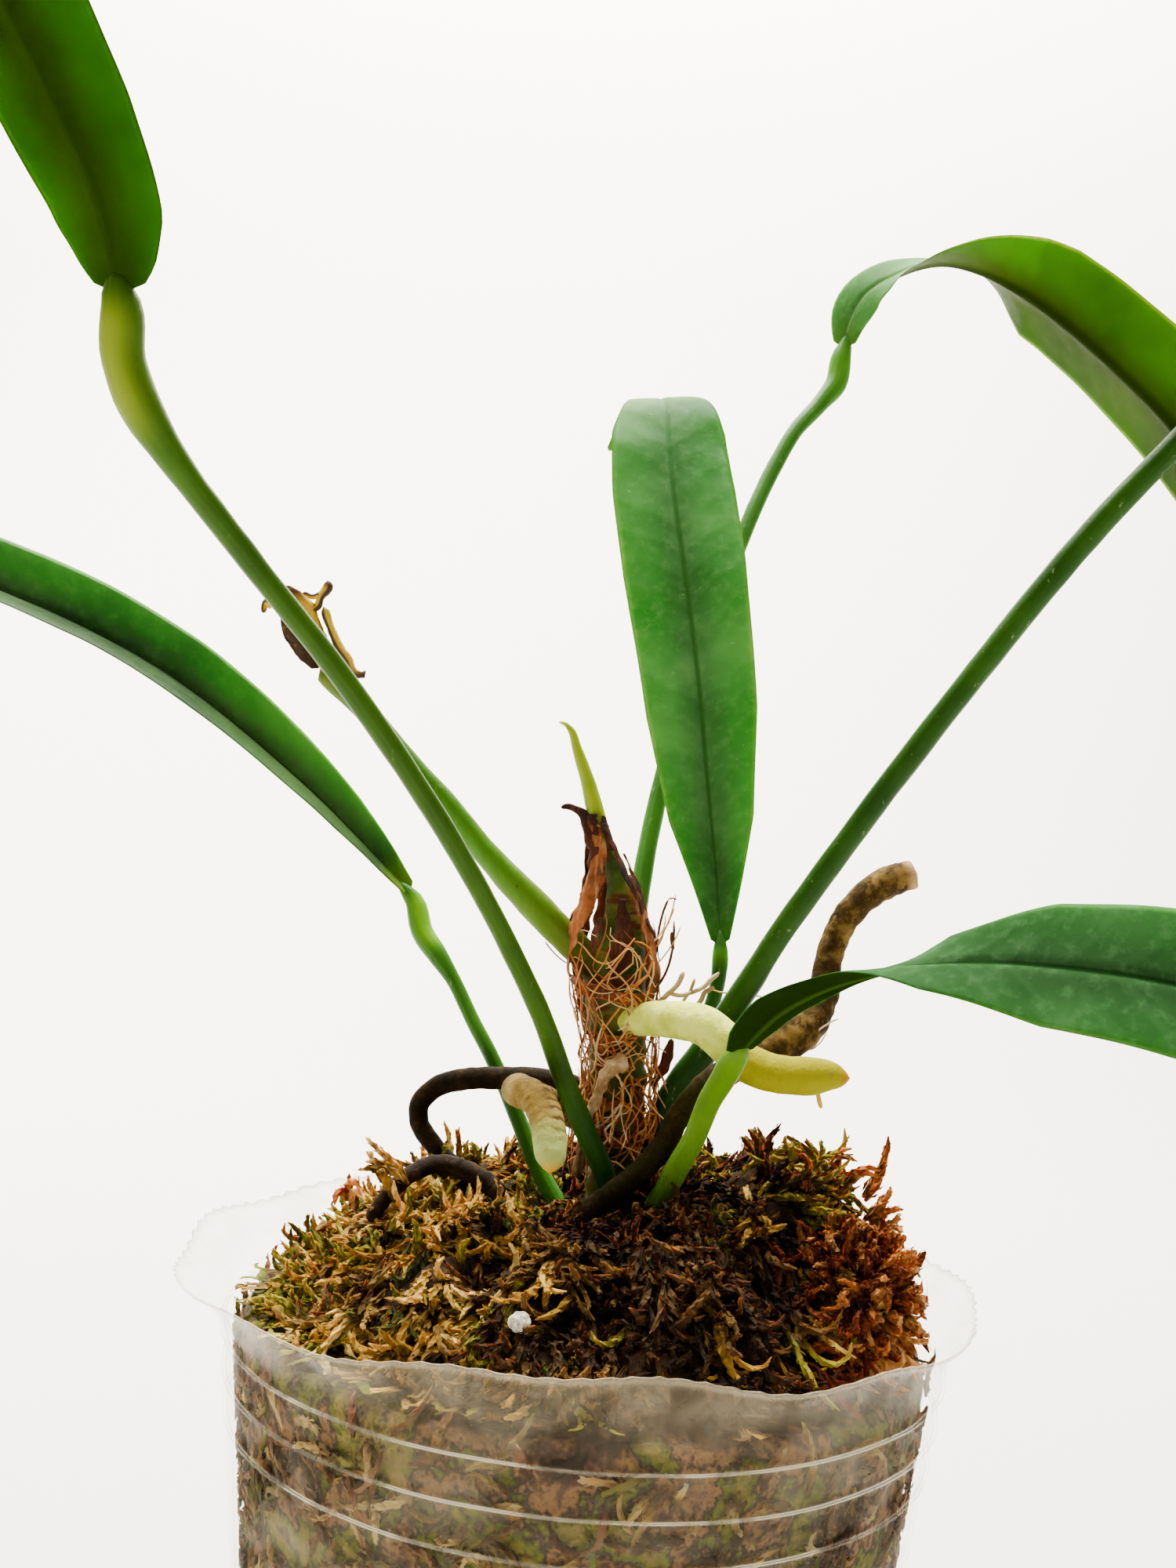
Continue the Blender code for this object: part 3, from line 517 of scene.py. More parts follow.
            (36.6, -52, 128.7), (43, -55, 129), (51, -57.5, 128.6), (63, -60, 126), (75, -61.5, 120),
            (86, -62.5, 111), (95, -63, 100), (100, -64, 88),
        ],
        "halfWidth": [
            (0, 1.5), (0.04, 3.2), (0.1, 4.1), (0.17, 3.9), (0.23, 3.8), (0.29, 5), (0.36, 6.6),
            (0.46, 7.8), (0.62, 8.2), (0.82, 5.6), (0.94, 2.4), (1, 0.5),
        ],
        "facing": [
            (0, (-0.45, 0.85, 0.3)), (0.1, (-0.4, 0.75, 0.5)), (0.2, (-0.15, 0.2, 1)),
            (0.27, (0, -0.6, 0.8)), (0.36, (0.05, -0.85, 0.5)), (0.6, (0.1, -0.85, 0.5)),
            (1, (0.75, -0.5, 0.4)),
        ],
        "fold": [(0, 10), (0.2, 4), (0.45, 8), (1, 14)],
        "kneeLength": 0.5, "kneeSide": 0.25, "slot": "leaf_green", "stalkSlot": "stalk_lime",
        "bladeColours": {
            "deep": "#1a3618", "main": "#2a4828", "light": "#446842", "rib": "#0c2a0c",
            # the underside colours are near black, far darker than the leaf's own green: painted shade on an
            # underside turned from the light
            "under": "#142601", "underDeep": "#0c1a01", "underRib": "#223a02", "margin": "#284e20",
            "pale": "#5c7a50", "base": "#264802", "gloss": 0.45, "scuffs": 0.15, "shine": 0.0,
        },
        "stalkColours": {
            "deep": "#416802", "main": "#588002", "foot": "#5c8410", "pale": "#9cb058", "knee": "#668e06",
            "footEnd": 0.4,
        },
    },
}


def bladeSurface(leaf, seed):
    look = leafParts["blade"]

    def place(u, v):
        # v runs round the blade: the upper side from edge to edge, then the underside back
        upper = v < 0.5
        across = np.where(upper, 4 * v - 1, 3 - 4 * v)
        across = np.sign(across) * np.abs(across)**look["crowding"]
        margin = np.abs(across) > look["marginAt"]
        centre = alongCurve(leaf["midrib"], u)
        ahead = unit(alongCurve(leaf["midrib"], u + 0.01) - alongCurve(leaf["midrib"], u - 0.01))
        face = tableValue(leaf["facing"], u)
        face = unit(face - (face * ahead).sum(axis=1, keepdims=True) * ahead)
        side = np.cross(face, ahead)
        fold = np.radians(tableValue(leaf["fold"], u)[:, 0])
        half = tableValue(leaf["halfWidth"], u)[:, 0]
        reach = across * half
        # the fold's bottom is a little rounded and the margins roll slightly down
        rise = (np.sqrt(reach**2 + 0.16) - 0.4) * np.sin(fold) - 0.05 * half * across**4
        wave = noiseAt(np.stack([reach, u * look["rippleRun"], 0 * u], axis=1), look["rippleSize"], seed)
        rise += look["ripple"] * wave * np.minimum(np.abs(reach) / 2, 1)
        thick = look["edge"] + (look["middle"] - look["edge"]) * np.exp(-(reach / look["middleWidth"])**2)
        thick = np.where(margin, 0, thick) * np.sqrt(np.clip(1 - across**8, 0, 1))
        fade = np.where(margin, 0, np.clip(half / 4, 0, 1))
        lift = thick / 2 - fade * look["grooveDepth"] * np.exp(-(reach / look["grooveWidth"])**2)
        drop = -thick / 2 - fade * look["ribHeight"] * np.exp(-(reach / look["ribWidth"])**2)
        lift = np.maximum(lift, drop + 0.25 * thick)
        # both ends close in a point
        spread = np.where(np.minimum(u, 1 - u) > 0.001, 1, 0)
        shift = spread * (rise + np.where(upper, lift, drop))
        return centre + side * (spread * reach * np.cos(fold))[:, None] + face * shift[:, None]

    return place


# light that enters green tissue comes out a little way off, most of it green
livingSkin = {"subsurfaceWeight": 0.10, "subsurfaceRadius": (0.4, 1.0, 0.15), "subsurfaceScale": 0.0012}


def leafMaterial(name, colours):
    # living leaf: waxy cuticle over green tissue, so a satin sheen that breaks up over the veins
    material, tree, shader = newMaterial(name, 0.4, specularIORLevel=colours.get("shine", 0.1), **livingSkin)
    along, around = uvPart(tree, 0), uvPart(tree, 1)
    # 0 on the midrib, 1 at the margins, on either side of the blade
    spanned = addNode(tree, "Math", addNode(tree, "Math", around, 0.5, operation="PINGPONG"), 4.0,
                      operation="MULTIPLY")
    fromRib = addNode(tree, "Math", addNode(tree, "Math", spanned, 1.0, operation="SUBTRACT"),
                      operation="ABSOLUTE")
    under = addNode(tree, "Math", around, 0.5, operation="GREATER_THAN")
    blotch = objectNoise(tree, 16, 3)
    fine = objectNoise(tree, 1.6, 4, 0.65)
    tone = addNode(tree, "ValToRGB", blotch,
                   stops=[(0.3, colours["deep"]), (0.55, colours["main"]), (0.78, colours["light"])])
    tone = overlay(tree, tone, colours["light"], fine, 0.45, 0.75, 0.0, 0.35)
    underTone = addNode(tree, "ValToRGB", blotch,
                        stops=[(0.25, colours["underDeep"]), (0.75, colours["under"])])
    # faint side veins that leave the midrib at a slant and join near the margin
    slant = addNode(tree, "Math", addNode(tree, "Math", along, 150.0, operation="MULTIPLY"),
                    addNode(tree, "Math", fromRib, -9.0, operation="MULTIPLY"), operation="ADD")
    stray = addNode(tree, "Math", blotch, 10.0, operation="MULTIPLY")
    veins = addNode(tree, "Math", addNode(tree, "Math", slant, stray, operation="ADD"), operation="SINE")
    tone = overlay(tree, tone, colours["light"], veins, 0.55, 1.0, 0.0, 0.07)
    ribShade = addNode(tree, "MapRange", fromRib, 0.05, 0.13, 1.0, 0.0, **eased)
    tone = addNode(tree, "Mix", addNode(tree, "Math", ribShade, 0.75, operation="MULTIPLY"), tone,
                   colours["rib"], **inColour)
    tone = overlay(tree, tone, colours["margin"], fromRib, 0.965, 0.995, 0.0, 0.8)
    underTone = overlay(tree, underTone, colours["underRib"], fromRib, 0.12, 0.26, 0.8, 0.0)
    underTone = overlay(tree, underTone, colours["margin"], fromRib, 0.95, 0.99, 0.0, 0.7)
    # pale scuffs and dried water marks, longer along the blade than across it
    scuff = objectNoise(tree, 5, 6, 0.75, distortion=1.5)
    tone = overlay(tree, tone, colours["pale"], scuff, 0.63, 0.72, 0.0, colours.get("scuffs", 0.3))
    base = overlay(tree, tone, colours["base"], along, 0.0, 0.05, 0.7, 0.0)
    tip = overlay(tree, base, colours["pale"], along, colours.get("fadeFrom", 0.985), 1.0, 0.0, 0.75)
    feed(shader, "Base Color", addNode(tree, "Mix", under, tip, underTone, **inColour))
    feed(shader, "Roughness", addNode(tree, "MapRange", fine, 0.3, 0.8, colours["gloss"], 0.62))
    height = addNode(tree, "Math", addNode(tree, "Math", veins, 0.25, operation="MULTIPLY"),
                     addNode(tree, "Math", fine, 0.6, operation="MULTIPLY"), operation="ADD")
    feed(shader, "Normal", addNode(tree, "Bump", 0.55, 0.12 * mm, None, height))
    return material


def stalkMaterial(name, colours, kneeFrom, kneeTo, kneeSide):
    # living leaf stalk: smooth green skin with fine lengthwise fibres, paler and yellower at the knee, most
    # of it on one side as a painted highlight
    material, tree, shader = newMaterial(name, 0.42, specularIORLevel=0.1, **livingSkin)
    along, around = uvPart(tree, 0), uvPart(tree, 1)
    blotch = objectNoise(tree, 12, 3)
    fine = objectNoise(tree, 0.9, 4, 0.65)
    tone = addNode(tree, "ValToRGB", blotch, stops=[(0.3, colours["deep"]), (0.7, colours["main"])])
    tone = overlay(tree, tone, colours["foot"], along, 0.0, colours.get("footEnd", 0.25), 1.0, 0.0)
    fleck = objectNoise(tree, 1.2, 5, 0.7, (1, 1, 0.5))
    tone = overlay(tree, tone, colours["pale"], fleck, 0.62, 0.7, 0.0, colours.get("flecks", 0.35))
    # the knee's yellow-green is laid on the lit side: partly the knee's own colour, partly a painted
    # highlight
    lit = addNode(tree, "MapRange", towards(tree, around, kneeSide), -0.6, 0.6, 0.15, 1.0, **eased)
    knee = addNode(tree, "MapRange", along, kneeFrom, kneeFrom + 0.05, **eased)
    neck = addNode(tree, "MapRange", along, kneeTo - 0.02, kneeTo + 0.02, 1.0, 0.0, **eased)
    kneeMask = addNode(tree, "Math", addNode(tree, "Math", knee, lit, operation="MULTIPLY"), neck,
                       operation="MULTIPLY")
    tone = addNode(tree, "Mix", kneeMask, tone, colours["knee"], **inColour)
    feed(shader, "Base Color", tone)
    strips = addNode(tree, "Math", around, 75.0, operation="MULTIPLY")
    stray = addNode(tree, "Math", blotch, 8.0, operation="MULTIPLY")
    grain = addNode(tree, "Math", addNode(tree, "Math", strips, stray, operation="ADD"), operation="SINE")
    height = addNode(tree, "Math", addNode(tree, "Math", grain, 0.12, operation="MULTIPLY"), fine,
                     operation="ADD")
    feed(shader, "Normal", addNode(tree, "Bump", 0.6, 0.10 * mm, None, height))
    return material


def makeLeaf(name, leaf, seed):
    look = leafParts["blade"]
    blade = wrapGrid("bladeOf_" + name, look["along"], look["around"], bladeSurface(leaf, seed))
    ready(blade, leafMaterial("livingLeaf_" + name, leaf["bladeColours"]), leaf["slot"], "blade_" + name)

    # the knee's skin runs on under the blade as the foot of its midrib
    stations = list(leaf["stalk"])
    bladeLength = pathLength(leaf["midrib"])
    foot = stations[-1][3]
    look = leafParts["stalk"]
    for reach, radius in look["underBlade"]:
        share = np.array([reach / bladeLength])
        sunk = unit(tableValue(leaf["facing"], share))[0] * 0.3 * radius
        spot = alongCurve(leaf["midrib"], share)[0] - sunk
        stations.append((*spot, foot * radius))
    steps = np.linalg.norm(np.diff(np.array(stations)[:, :3], axis=0), axis=1)
    length = steps.sum()
    kneeTo = steps[:-len(look["underBlade"])].sum()

    def relief(run, turn, spot):
        return 1 + look["unevenness"] * noiseAt(spot, 3.5, seed) + 0.02 * np.sin(3 * turn)

    count = int(length / look["ringStep"])
    stalk = wrapTube("stalkOf_" + name, stations, count, look["around"], relief)
    kneeFrom = kneeTo - leaf["kneeLength"]
    material = stalkMaterial("leafStalk_" + name, leaf["stalkColours"], kneeFrom / length, kneeTo / length,
                             leaf["kneeSide"])
    ready(stalk, material, leaf["stalkSlot"], "stalk_" + name)


for seed, (name, leaf) in enumerate(leaves.items()):
    makeLeaf(name, leaf, seed)
print("leaves made:", len(leaves))


# Stem, shoot and the broken stalk

stemParts = {
    "stem": [
        (2.3, -0.8, 72, 3), (2.3, -1.2, 86, 3.3), (2, -2, 105, 3.5), (1.3, -2.1, 112, 3.7),
        (0.7, -2.5, 118, 3.8), (0.85, -3, 123.6, 3), (0.7, -3.5, 127.4, 2.2), (-0.1, -3.8, 130.6, 1.55),
        (-1.2, -4.1, 133.8, 0.95), (-1.8, -4.2, 135.6, 0.6),
    ],
    "shoot": [
        (-1.9, -3.2, 133.6, 1.0), (-2.6, -3.6, 135.8, 1.15), (-3.5, -4, 138.4, 1.15),
        (-4.8, -4, 142.3, 0.92), (-6.6, -4, 146.6, 0.64), (-7.6, -4, 148.9, 0.42), (-8.3, -4, 149.5, 0.28),
        (-9.2, -4, 149.7, 0.2),
    ],
    "broken": [
        (1, -2.2, 113, 1.8), (-0.8, -2.4, 117, 1.85), (-3, -2.8, 120.2, 1.8), (-5.7, -3.4, 122.7, 1.8),
        (-8.9, -4.2, 125.5, 1.85), (-12.5, -5, 128.8, 1.7), (-16.4, -6, 132.5, 1.45),
        (-21.4, -7, 137.9, 1.3), (-27, -7.8, 143.4, 1.2), (-32.2, -8.6, 148.6, 1.15),
        (-35.6, -9, 151.3, 1.15), (-38.4, -9.4, 153.6, 1.1),
    ],
    "withered": {
        "midrib": [(-38.5, -9.5, 153.6), (-39, -9.6, 154.5), (-40.6, -10, 157), (-41.7, -10.4, 159.6),
                   (-43.2, -11, 163.2)],
        "halfWidth": [(0, 1.0), (0.25, 2.7), (0.7, 2.6), (0.9, 1.8), (1, 0.4)],
        "facing": [(0, (0.4, -0.75, 0.4)), (1, (0.3, -0.8, 0.4))],
        "fold": [(0, 25), (1, 25)],
    },
}


def stemMaterial():
    # young stem under dead fibre: olive skin with brown leaf scars right round it
    material, tree, shader = newMaterial("stemBark", 0.65, specularIORLevel=0.15)
    tone = addNode(tree, "ValToRGB", objectNoise(tree, 5, 4),
                   stops=[(0.36, "#22340a"), (0.5, "#3c4c0c"), (0.6, "#5c5414"), (0.68, "#5a3210")])
    scar = addNode(tree, "MapRange", objectNoise(tree, 2.2, 3, 0.6, (0.25, 0.25, 1)), 0.56, 0.64, **eased)
    feed(shader, "Base Color", addNode(tree, "Mix", scar, tone, "#4a2408", **inColour))
    feed(shader, "Normal", addNode(tree, "Bump", 1.0, 0.3 * mm, None, objectNoise(tree, 1.2, 4)))
    return material


def shootMaterial():
    # rolled young leaf: yellow-green and waxy, greener along its open edge, with a dry tip
    material, tree, shader = newMaterial("rolledShoot", 0.42, specularIORLevel=0.2, subsurfaceWeight=0.15,
                                         subsurfaceRadius=(0.6, 1.0, 0.2), subsurfaceScale=0.001)
    along, around = uvPart(tree, 0), uvPart(tree, 1)
    tone = addNode(tree, "ValToRGB", objectNoise(tree, 6, 3), stops=[(0.3, "#6c8a02"), (0.7, "#8c9c04")])
    fromEdge = addNode(tree, "Math", addNode(tree, "Math", around, 0.1, operation="ADD"), 0.5,
                       operation="PINGPONG")
    tone = overlay(tree, tone, "#4d7a1e", fromEdge, 0.0, 0.12, 0.8, 0.0)
    tone = overlay(tree, tone, "#3a3214", objectNoise(tree, 1.1, 5, 0.7), 0.66, 0.72)
    tone = overlay(tree, tone, "#c7bd6a", along, 0.93, 1.0)
    feed(shader, "Base Color", tone)
    feed(shader, "Normal",
         addNode(tree, "Bump", 1.0, 0.08 * mm, None, objectNoise(tree, 1.0, 3, 0.5, (1, 1, 0.2))))
    return material


def brokenMaterial():
    # dying leaf stalk: lime skin that browns along one edge and reddens at its foot
    material, tree, shader = newMaterial("dyingStalk", 0.5, specularIORLevel=0.15, subsurfaceWeight=0.12,
                                         subsurfaceRadius=(0.6, 1.0, 0.2), subsurfaceScale=0.001)
    along, around = uvPart(tree, 0), uvPart(tree, 1)
    tone = addNode(tree, "ValToRGB", along,
                   stops=[(0.0, "#4c2404"), (0.08, "#523404"), (0.16, "#4c5002"), (0.3, "#4a6c01"),
                          (0.5, "#3c6e01"), (0.85, "#2a5c04"), (1.0, "#506002")])
    tone = overlay(tree, tone, "#5c7402", objectNoise(tree, 4, 4), 0.5, 0.75, 0.0, 0.35)
    side = towards(tree, around, 0.55)
    brown = addNode(tree, "Math", addNode(tree, "MapRange", side, 0.75, 1.0, **eased),
                    addNode(tree, "MapRange", objectNoise(tree, 3, 4), 0.35, 0.6, **eased),
                    operation="MULTIPLY")
    tone = addNode(tree, "Mix", brown, tone, "#7a4a24", **inColour)
    tone = overlay(tree, tone, "#2f2412", objectNoise(tree, 0.9, 5, 0.7), 0.69, 0.73)
    feed(shader, "Base Color", tone)
    feed(shader, "Normal",
         addNode(tree, "Bump", 1.0, 0.2 * mm, None, objectNoise(tree, 1.2, 4, 0.6, (1, 1, 0.3))))
    return material


def witheredMaterial():
    # dead leaf end: yellow parchment that has browned and curled at its tip
    material, tree, shader = newMaterial("witheredLeaf", 0.7, specularIORLevel=0.15)
    along = uvPart(tree, 0)
    tone = addNode(tree, "ValToRGB", along,
                   stops=[(0.0, "#8a8c10"), (0.2, "#c0a010"), (0.75, "#b88c1c"), (0.9, "#4d3018"),
                          (1.0, "#241810")])
    # one margin has dried black-brown, like the shreds
    fromEdge = addNode(tree, "Math", uvPart(tree, 1), 0.5, operation="PINGPONG")
    tone = overlay(tree, tone, "#3a2a1a", fromEdge, 0.22, 0.3, 0.0, 1.0)
    feed(shader, "Base Color", overlay(tree, tone, "#6d4a24", objectNoise(tree, 1.6, 4), 0.6, 0.7))
    feed(shader, "Normal", addNode(tree, "Bump", 1.0, 0.4 * mm, None, objectNoise(tree, 1.5, 4)))
    return material


def makeStem():
    def knobbly(run, turn, spot):
        return 1 + 0.10 * noiseAt(spot, 3.0, 3) + 0.05 * np.sin(run * 1.9)

    stem = wrapTube("stemCore", stemParts["stem"], 60, 22, knobbly)
    ready(stem, stemMaterial(), "stalk_green", "stem")

    def rolled(run, turn, spot):
        # the open edge of the rolled leaf shows as a small step down its length
        return 1 + 0.12 * np.clip(1 - np.abs(turn - 5.4) / 0.5, 0, 1) + 0.05 * noiseAt(spot, 2.5, 5)

    shoot = wrapTube("rolledShoot", stemParts["shoot"], 44, 18, rolled, blunt=1.5)
    ready(shoot, shootMaterial(), "stalk_lime", "new_shoot")

    def dying(run, turn, spot):
        notch = 0.35 * np.exp(-((run - 9.5) / 0.7)**2) * np.clip(np.cos(turn - 1.5), 0, 1)
        return 1.1 + 0.09 * noiseAt(spot, 3.0, 7) - notch

    broken = wrapTube("dyingStalk", stemParts["broken"], 70, 20, dying)
    ready(broken, brokenMaterial(), "stalk_green", "broken_stalk")


def makeWithered():
    leaf = stemParts["withered"]

    def place(u, v):
        base = bladeSurface(leaf, 21)(u, v)
        crumple = noiseAt(base, 2.2, 9)
        shift = np.stack([0.25 * crumple, 0.3 * noiseAt(base, 3, 11), 0.35 * crumple], axis=1)
        return base + shift * np.clip(u * 4, 0, 1)[:, None]

    blade = wrapGrid("witheredBlade", 40, 24, place)
    # dry curled shreds that stand up from its end
    shreds = [
        [(-40.8, -9.6, 160.4, 0.6), (-39.4, -9.5, 161, 0.55), (-38.9, -9.4, 162.4, 0.5),
         (-38.2, -9.4, 163.6, 0.6), (-38.3, -9.4, 164.4, 0.3)],
        [(-38.9, -9.5, 162.6, 0.4), (-40, -9.5, 162.2, 0.35), (-41.2, -9.6, 162.6, 0.25)],
        [(-38.6, -9.4, 161.2, 0.55), (-37.6, -9.2, 158.8, 0.5), (-36.5, -9.1, 156.8, 0.55),
         (-34.9, -9, 154.8, 0.5), (-34.3, -9, 153.6, 0.42), (-33.2, -9, 153.2, 0.5),
         (-32.8, -9, 153.9, 0.25)],
        [(-44.2, -11.2, 160.6, 0.6), (-45.2, -11.3, 160.9, 0.5), (-45.4, -11.3, 159.6, 0.3)],
    ]

    def crumpled(run, turn, spot):
        return 1 + 0.35 * noiseAt(spot, 1.0, 13)

    rolls = [wrapTube(f"shred{number}", path, 16, 8, crumpled) for number, path in enumerate(shreds)]
    joinAll([blade] + rolls)
    ready(blade, witheredMaterial(), "leaf_withered", "withered_blade")


makeStem()
makeWithered()
print("stem, shoot and broken stalk made")


# Aerial roots

roots = {
    "root_pale_right": {
        "path": [
            (0.8, -2, 112.6, 2.0), (4.5, -6.5, 114.1, 2.1), (8, -9.8, 114.8, 2.3),
            (11.6, -12, 114.6, 2.4), (14.2, -13, 113, 2.4), (16, -13.6, 111.4, 2.35),
            (18.6, -14.3, 110.4, 2.3), (21.4, -14.8, 110.1, 2.25), (24.8, -15.2, 110.4, 2.15),
            (26.6, -15.5, 110.6, 1.7), (28, -15.5, 110.5, 1.1), (28.8, -15.5, 110.5, 0.4),
        ],
        "kind": "pale", "bark": ["#b2bc3c", "#d2da58", "#e4e67a"], "tip": "#b86800", "tipFrom": 0.955,
        "young": "#8e8800", "youngFrom": 0.5, "wrinkle": 0.025, "wrinkleStep": 2.9, "slot": "root_pale",
    },
    "root_pale_left": {
        "path": [
            (1.8, -2, 98.5, 1.7), (-4, -5.4, 101.8, 1.8), (-7.6, -8.2, 103.6, 1.9), (-9.9, -11.5, 105, 2),
            (-9.5, -15, 105.6, 2), (-7.1, -19, 105.2, 2), (-5.8, -21.5, 103.2, 2), (-5.3, -23, 101, 1.9),
            (-5.1, -24, 99.2, 1.3), (-5.1, -24.2, 98.4, 0.4),
        ],
        "kind": "pale", "bark": ["#463610", "#725c28", "#8e7a3e"], "tip": "#c08c00", "tipFrom": 0.955,
        "young": "#98a258", "youngFrom": 0.8, "wrinkle": 0.025, "wrinkleStep": 1.9, "flank": -0.1,
        "slot": "root_pale",
    },
    "root_brown_loop": {
        "path": [
            (1.8, -2, 103.2, 1.3), (-3.3, -0.5, 104, 1.4), (-7.8, 0.3, 104.4, 1.45),
            (-12.9, 1, 104, 1.45), (-17.9, 2, 103.2, 1.4), (-21.5, 3, 101.6, 1.35), (-23.3, 3, 99.4, 1.3),
            (-23.2, 3, 97.2, 1.25), (-21.1, 2, 94.7, 1.2), (-17.4, 1, 91.6, 1.2), (-13.5, 0, 88.6, 1.1),
        ],
        "kind": "brown", "bark": ["#0c0702", "#1a1104", "#30210c"], "wrinkle": 0.04, "wrinkleStep": 2.6,
        "slot": "root_brown",
    },
    "root_brown_long": {
        "path": [
            (-4.5, -13.4, 88.5, 1.3), (0.4, -13, 92.5, 1.4), (3.9, -12.5, 95.4, 1.4),
            (7.8, -11.5, 99.8, 1.45), (9.6, -10.5, 103.7, 1.45), (12.4, -9.5, 107.1, 1.6),
            (16.6, -8, 109.8, 1.9), (20.8, -6.5, 111.9, 2.2), (24.4, -4.5, 114.3, 2.3),
            (26.4, -2.5, 118, 2.0), (27, -1, 122.3, 1.75), (28.2, 0, 126.6, 1.75),
            (30.6, 0.5, 130.3, 1.9), (34, 1, 133, 2.0), (37.6, 1, 134.4, 1.8),
        ],
        "kind": "brown", "bark": ["#180f04", "#3c2c10", "#7a6030"], "cut": "#a8845c", "wrinkle": 0.06,
        "wrinkleStep": 2.2, "slot": "root_brown",
    },
    "root_black_left": {
        "path": [
            (-11, -5, 90.5, 1.2), (-15, -3.5, 92.6, 1.2), (-19.9, -3.2, 93.3, 1.2),
            (-22.7, -5, 92.3, 1.1), (-25, -7, 90.2, 1.0), (-27, -9, 87, 0.9),
        ],
        "kind": "brown", "bark": ["#120d0a", "#231a13", "#3a2c20"], "wrinkle": 0.08, "wrinkleStep": 2.0,
        "slot": "root_dark",
    },
}


# a cut root ends bluntly, the others round off
rootShape = {"ringStep": 0.45, "around": 22, "blunt": 1.2, "cutBlunt": 0.35}


def rootMaterial(name, root):
    # aerial root: corky velamen over a green or brown core, ringed with fine cracks as it dries
    material, tree, shader = newMaterial(name, 0.72, specularIORLevel=0.04)
    along = uvPart(tree, 0)
    low, middle, high = root["bark"]
    blotch = objectNoise(tree, 3.5, 5, 0.65)
    tone = addNode(tree, "ValToRGB", blotch, stops=[(0.32, low), (0.5, middle), (0.68, high)])
    fine = objectNoise(tree, 0.8, 4, 0.7)
    if root["kind"] == "pale":
        tone = overlay(tree, tone, high, fine, 0.55, 0.75, 0.0, 0.3)
        tone = overlay(tree, tone, root["young"], along, root["youngFrom"], root["youngFrom"] + 0.12)
        tone = overlay(tree, tone, root["tip"], along, root["tipFrom"], 1.0)
        tone = overlay(tree, tone, "#7d6a40", objectNoise(tree, 1.7, 5, 0.7), 0.62, 0.7, 0.0, 0.5)
        shader.inputs["Subsurface Weight"].default_value = 0.1
        shader.inputs["Subsurface Scale"].default_value = 0.001
    else:
        streak = objectNoise(tree, 1.5, 4, 0.65, (1, 1, 0.45))
        tone = overlay(tree, tone, high, streak, 0.56, 0.68, 0.0, 0.7)
        tone = overlay(tree, tone, low, fine, 0.62, 0.7, 0.0, 0.6)
    if "cut" in root:
        tone = overlay(tree, tone, root["cut"], along, 0.972, 0.99)
        patch = addNode(tree, "MapRange", objectNoise(tree, 4, 4), 0.42, 0.56, **eased)
        moss = addNode(tree, "Math", addNode(tree, "MapRange", along, 0.25, 0.6, 1.0, 0.0, **eased), patch,
                       operation="MULTIPLY")
        tone = addNode(tree, "Mix", moss, tone, "#2a2c08", **inColour)
        tone = overlay(tree, tone, "#181004", along, 0.2, 0.62, 0.75, 0.0)
    # transverse cracks, uneven in spacing
    phase = addNode(tree, "Math", along, fullTurn * pathLength(root["path"]) / root["wrinkleStep"] * 1.6,
                    operation="MULTIPLY")
    stray = addNode(tree, "Math", objectNoise(tree, 2.5, 3), 14.0, operation="MULTIPLY")
    crack = addNode(tree, "Math", addNode(tree, "Math", phase, stray, operation="ADD"), operation="SINE")
    if "flank" in root:
        # they gather on one side, where the skin has dried
        side = addNode(tree, "MapRange", coordPart(tree, "Normal", 0), root["flank"], root["flank"] + 0.4,
                       **eased)
        dried = addNode(tree, "Math", side, addNode(tree, "MapRange", along, 0.84, 0.92, 1.0, 0.0, **eased),
                        operation="MULTIPLY")
        cracked = addNode(tree, "Math", dried,
                          addNode(tree, "MapRange", crack, 0.1, 0.8, 0.15, 0.9, **eased),
                          operation="MULTIPLY")
        tone = addNode(tree, "Mix", cracked, tone, "#3a2610", **inColour)
    feed(shader, "Base Color", tone)
    lumps = addNode(tree, "Math", addNode(tree, "Math", blotch, 0.8, operation="MULTIPLY"), fine,
                    operation="ADD")
    height = addNode(tree, "Math", lumps, addNode(tree, "Math", crack, 0.12, operation="MULTIPLY"),
                     operation="SUBTRACT")
    feed(shader, "Normal", addNode(tree, "Bump", 0.7, 0.28 * mm, None, height))
    return material


def makeRoot(name, root, seed):
    def relief(run, turn, spot):
        uneven = noiseAt(spot, 3.2, seed) * 1.2
        rings = np.sin(fullTurn * run / root["wrinkleStep"] + 6 * noiseAt(spot, 4, seed + 1))
        return 1 + root["wrinkle"] * (uneven + 0.5 * rings * (1 + noiseAt(spot, 6, seed + 2)))

    rings = int(pathLength(root["path"]) / rootShape["ringStep"])
    blunt = rootShape["cutBlunt" if "cut" in root else "blunt"]
    piece = wrapTube("skinOf_" + name, root["path"], rings, rootShape["around"], relief, blunt)
    ready(piece, rootMaterial("velamen_" + name, root), root["slot"], name)


for seed, (name, root) in enumerate(roots.items()):
    makeRoot(name, root, seed + 30)
print("roots made:", len(roots))


# Dry sheath: paper strips and a net of fibres round the stem

